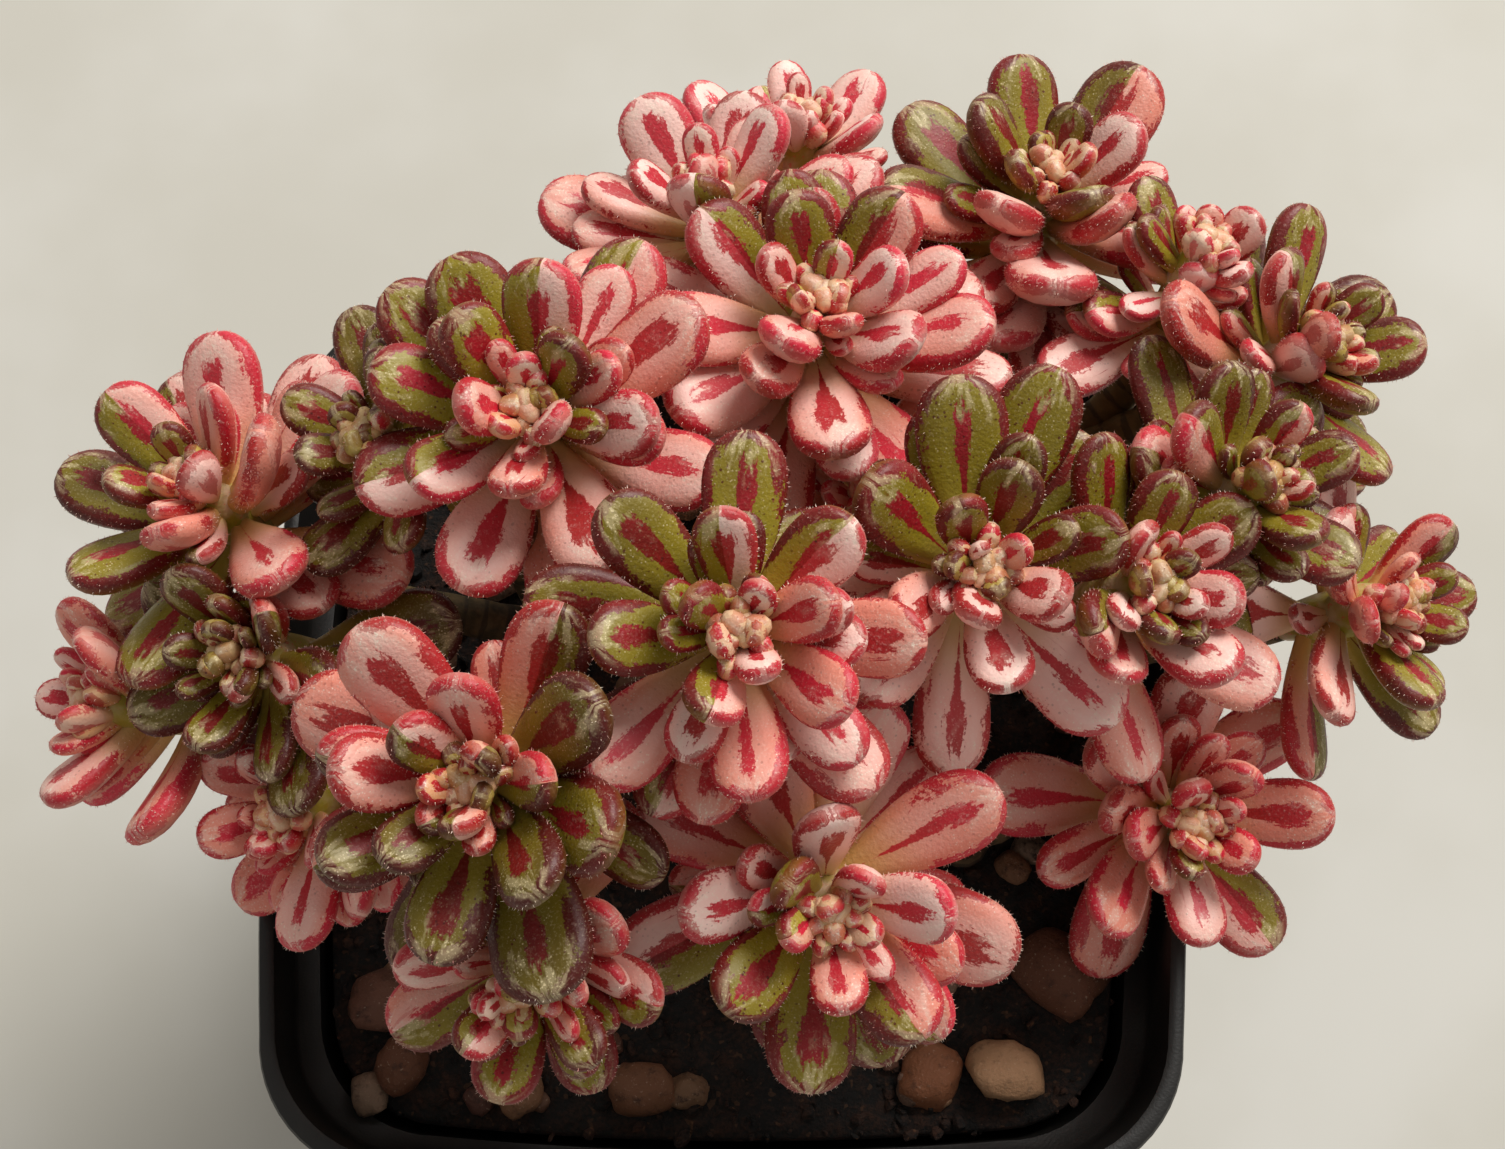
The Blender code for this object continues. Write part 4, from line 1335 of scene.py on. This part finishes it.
def side_tones(name, turn, t, draw):
    """Green, dark and pale shares of a leaf's left and right halves, from the side that each looks to."""
    toward, spread, dark, pale, heart_green = LOOKS[name]
    jitter = draw.uniform(-22, 22)
    dark = min(1.0, max(0.0, dark + draw.uniform(-0.15, 0.25)))
    pale = min(1.0, max(0.0, pale + draw.uniform(-0.4, 0.4) + 0.35 * max(0.0, t - 0.6)))
    tones = []
    lucky = draw.random()
    for aside in (15, -15):
        off = abs((turn + jitter + aside - toward + 180) % 360 - 180)
        green = 1.0 if off < spread / 2 else 0.0
        if t > 0.7:
            green = 1.0 if lucky < heart_green else 0.0
            lucky += draw.uniform(-0.3, 0.3)
        if t > 1.0:
            green *= 0.45
        tones.append((green, dark, pale))
    return tones


def make_head(name, leaves, paints):
    """One leafy head: its placed leaves, its buds and the shoot that carries them."""
    draw = random.Random(name + " colours")
    points, faces, count = [], [], 0
    facts = {"place": [], "tone_left": [], "tone_right": [], "leaf": []}
    for t, turn, root, ways, size in [*leaves, *bud_leaves(name)]:
        bead = size[0] < BEAD_LENGTH
        stations = FINE_STATIONS[::2] if bead else FINE_STATIONS
        sides = BEAD_SIDES if bead else LEAF_SIDES
        skin, places = leaf_skin(root, ways, size, sides, stations)
        tones = side_tones(name, turn, t, draw)
        faces += tube_faces(len(stations), sides, count)
        count += len(skin)
        points.append(skin)
        for pile, fact in zip(facts.values(), (places, *tones, (draw.random(), min(1.0, t), size[0]))):
            pile.append(np.broadcast_to(fact, (len(skin), 3)))
    leaf_faces = len(faces)
    path = [up_shoot(name, height) for height, _ in FINE_SHOOT]
    shoot = smooth_tube(path, [radius for _, radius in FINE_SHOOT], FINE_SIDES)
    faces += tube_faces(len(path), FINE_SIDES, count)
    points.append(np.array(shoot))
    rosette = mesh_object(name.replace("head", "rosette"), np.concatenate(points), faces, *paints)
    for label, pile in facts.items():
        give(rosette.data, label, np.concatenate([*pile, np.zeros((len(shoot), 3))]))
    slots = np.zeros(len(faces), np.int32)
    slots[leaf_faces:] = 1
    rosette.data.polygons.foreach_set("material_index", slots)
    hand_over(rosette, SLOT_OF[name], name)
    return rosette


def hair_tree(paint):
    """Short hairs that stand off the leaves' rims."""
    nodes, inputs = tree_with_inputs("leaf_hairs", "Density", "Length")
    place = nodes.node("GeometryNodeInputNamedAttribute", {"data_type": "FLOAT_VECTOR"}, {"Name": "place"})
    across, along, _ = nodes.parts(place[0])
    near = abs(across).smooth(0.86, 0.99) * along.smooth(0.1, 0.3) + along.smooth(0.93, 0.99) * 0.4
    sockets = {"Mesh": inputs["Mesh"], "Density": inputs.value("Density") * near, "Seed": 7}
    spread = nodes.node("GeometryNodeDistributePointsOnFaces", None, sockets)
    spike = {"Vertices": 3, "Radius Top": 0.0, "Radius Bottom": HAIR_RADIUS, "Depth": 1.0}
    cone = nodes.node("GeometryNodeMeshCone", {"fill_type": "NGON"}, spike)
    lean = nodes.any_vector((-0.5, -0.5, -0.5), (0.5, 0.5, 0.5), seed=5)
    way = nodes.node("ShaderNodeVectorMath", {"operation": "ADD"}, {0: spread["Normal"], 1: lean})
    turned = nodes.node("FunctionNodeAlignRotationToVector", {"axis": "Z"}, {"Vector": way[0]})
    tall = nodes.joined(1.0, 1.0, (0.45 + 0.55 * nodes.luck(seed=6)) * inputs.value("Length"))
    finish_tree(nodes, scattered(nodes, spread, cone, turned, tall), paint)
    return nodes


def make_hairs(rosettes, looks):
    joined = bmesh.new()
    for rosette in rosettes:
        joined.from_mesh(rosette.data)
    whole = bpy.data.meshes.new("leaf_hairs")
    joined.to_mesh(whole)
    joined.free()
    per_area = looks.hairs / 0.01**2
    sizes = {"Density": per_area, "Length": looks.hair_length}
    hairs = grow_on("leaf_hairs", whole, hair_tree(paint_hairs()), sizes)
    hand_over(hairs, "mixed_leaves")


def make_camera():
    """The camera of the view: where it stands, how steeply it looks down, its turn and its roll."""
    down, turn, roll = (math.radians(angle) for angle in (CAMERA_DOWN, CAMERA_TURN, CAMERA_ROLL))
    forward = Vector((0, math.cos(down), -math.sin(down)))
    right = Vector((1, 0, 0))
    about = Matrix.Rotation(turn, 3, "Z")
    forward, right, up = about @ forward, about @ right, about @ right.cross(forward)
    level = right * math.cos(roll) + up * math.sin(roll)
    upright = up * math.cos(roll) - right * math.sin(roll)
    data = bpy.data.cameras.new("camera")
    data.sensor_width, data.lens, data.clip_start = SENSOR_WIDTH, CAMERA_LENS, NEAREST_SEEN
    camera = linked("camera", data)
    camera.matrix_world = Matrix((level, upright, -forward)).transposed().to_4x4()
    camera.location = CAMERA_PLACE
    bpy.context.scene.camera = camera


def make_stage(looks):
    """A pale floor, one large soft window light, daylight from all round and the camera."""
    reach = FLOOR_REACH / MM
    corners = [(-reach, -reach, 0), (reach, -reach, 0), (reach, reach, 0), (-reach, reach, 0)]
    mesh_object("floor", corners, [(0, 1, 2, 3)], paint_floor(looks))
    world = bpy.data.worlds.new("daylight")
    world.use_nodes = True
    sky = world.node_tree.nodes["Background"].inputs
    sky["Color"].default_value, sky["Strength"].default_value = DAYLIGHT_TINT, looks.daylight
    bpy.context.scene.world = world
    lamp = bpy.data.lights.new("window", "AREA")
    lamp.shape, lamp.size, lamp.energy, lamp.color = "DISK", WINDOW_SIZE, looks.window, WINDOW_TINT
    window = linked("window", lamp)
    window.location = WINDOW_PLACE
    window.rotation_euler = (Vector(WINDOW_PLACE) - Vector(WINDOW_AIM)).to_track_quat("Z", "Y").to_euler()
    bpy.context.scene.view_settings.view_transform = "Standard"
    make_camera()


class PLANT_OT_pot(bpy.types.Operator):
    """Makes the black plastic nursery pot"""

    bl_idname = "plant.pot"
    bl_label = "Pot"

    def execute(self, context):
        make_pot(context.scene.pot_looks)
        return {"FINISHED"}


class PLANT_OT_soil(bpy.types.Operator):
    """Makes the soil, its crumbs and its grit"""

    bl_idname = "plant.soil"
    bl_label = "Soil and grit"

    def execute(self, context):
        soil = make_soil(context.scene.soil_looks)
        make_crumbs(soil, context.scene.soil_looks)
        make_grit()
        return {"FINISHED"}


class PLANT_OT_stems(bpy.types.Operator):
    """Makes the forked woody stems"""

    bl_idname = "plant.stems"
    bl_label = "Stems"

    def execute(self, context):
        make_stems()
        return {"FINISHED"}


class PLANT_OT_heads(bpy.types.Operator):
    """Makes the leafy heads and the hairs on their leaves"""

    bl_idname = "plant.heads"
    bl_label = "Leafy heads"

    def execute(self, context):
        looks = context.scene.leaf_looks
        paints = [paint_leaves(looks), paint_shoots(looks)]
        bodies = standing_bodies()
        placed = {name: list(place_leaves(name, bodies)) for name in HEADS}
        for name, leaves in placed.items():
            leaves += list(gap_leaves(name, leaves, bodies))
        make_hairs([make_head(name, leaves, paints) for name, leaves in placed.items()], looks)
        return {"FINISHED"}


class PLANT_OT_stage(bpy.types.Operator):
    """Sets the floor, the light and the camera"""

    bl_idname = "plant.stage"
    bl_label = "Stage"

    def execute(self, context):
        make_stage(context.scene.stage_looks)
        return {"FINISHED"}


OPERATORS = (PLANT_OT_pot, PLANT_OT_soil, PLANT_OT_stems, PLANT_OT_heads, PLANT_OT_stage)
LOOKS_GROUPS = {
    "pot_looks": PotLooks,
    "soil_looks": SoilLooks,
    "leaf_looks": LeafLooks,
    "stage_looks": StageLooks,
}


class PLANT_PT_panel(bpy.types.Panel):
    """Lists the plant's pieces and their looks"""

    bl_idname = "PLANT_PT_panel"
    bl_label = "Potted aeonium"
    bl_space_type = "VIEW_3D"
    bl_region_type = "UI"
    bl_category = "Aeonium"

    def draw(self, context):
        for operator in OPERATORS:
            self.layout.operator(operator.bl_idname)
        for name, group in LOOKS_GROUPS.items():
            box = self.layout.box()
            for prop in group.__annotations__:
                box.prop(getattr(context.scene, name), prop)


def register():
    for group in LOOKS_GROUPS.values():
        bpy.utils.register_class(group)
    for name, group in LOOKS_GROUPS.items():
        setattr(bpy.types.Scene, name, PointerProperty(type=group))
    for shown in (*OPERATORS, PLANT_PT_panel):
        bpy.utils.register_class(shown)


def unregister():
    for shown in (PLANT_PT_panel, *reversed(OPERATORS)):
        bpy.utils.unregister_class(shown)
    for name, group in LOOKS_GROUPS.items():
        delattr(bpy.types.Scene, name)
        bpy.utils.unregister_class(group)


def main():
    register()
    bpy.ops.plant.pot()
    bpy.ops.plant.soil()
    bpy.ops.plant.stems()
    bpy.ops.plant.heads()
    bpy.ops.plant.stage()


if __name__ == "__main__":
    main()
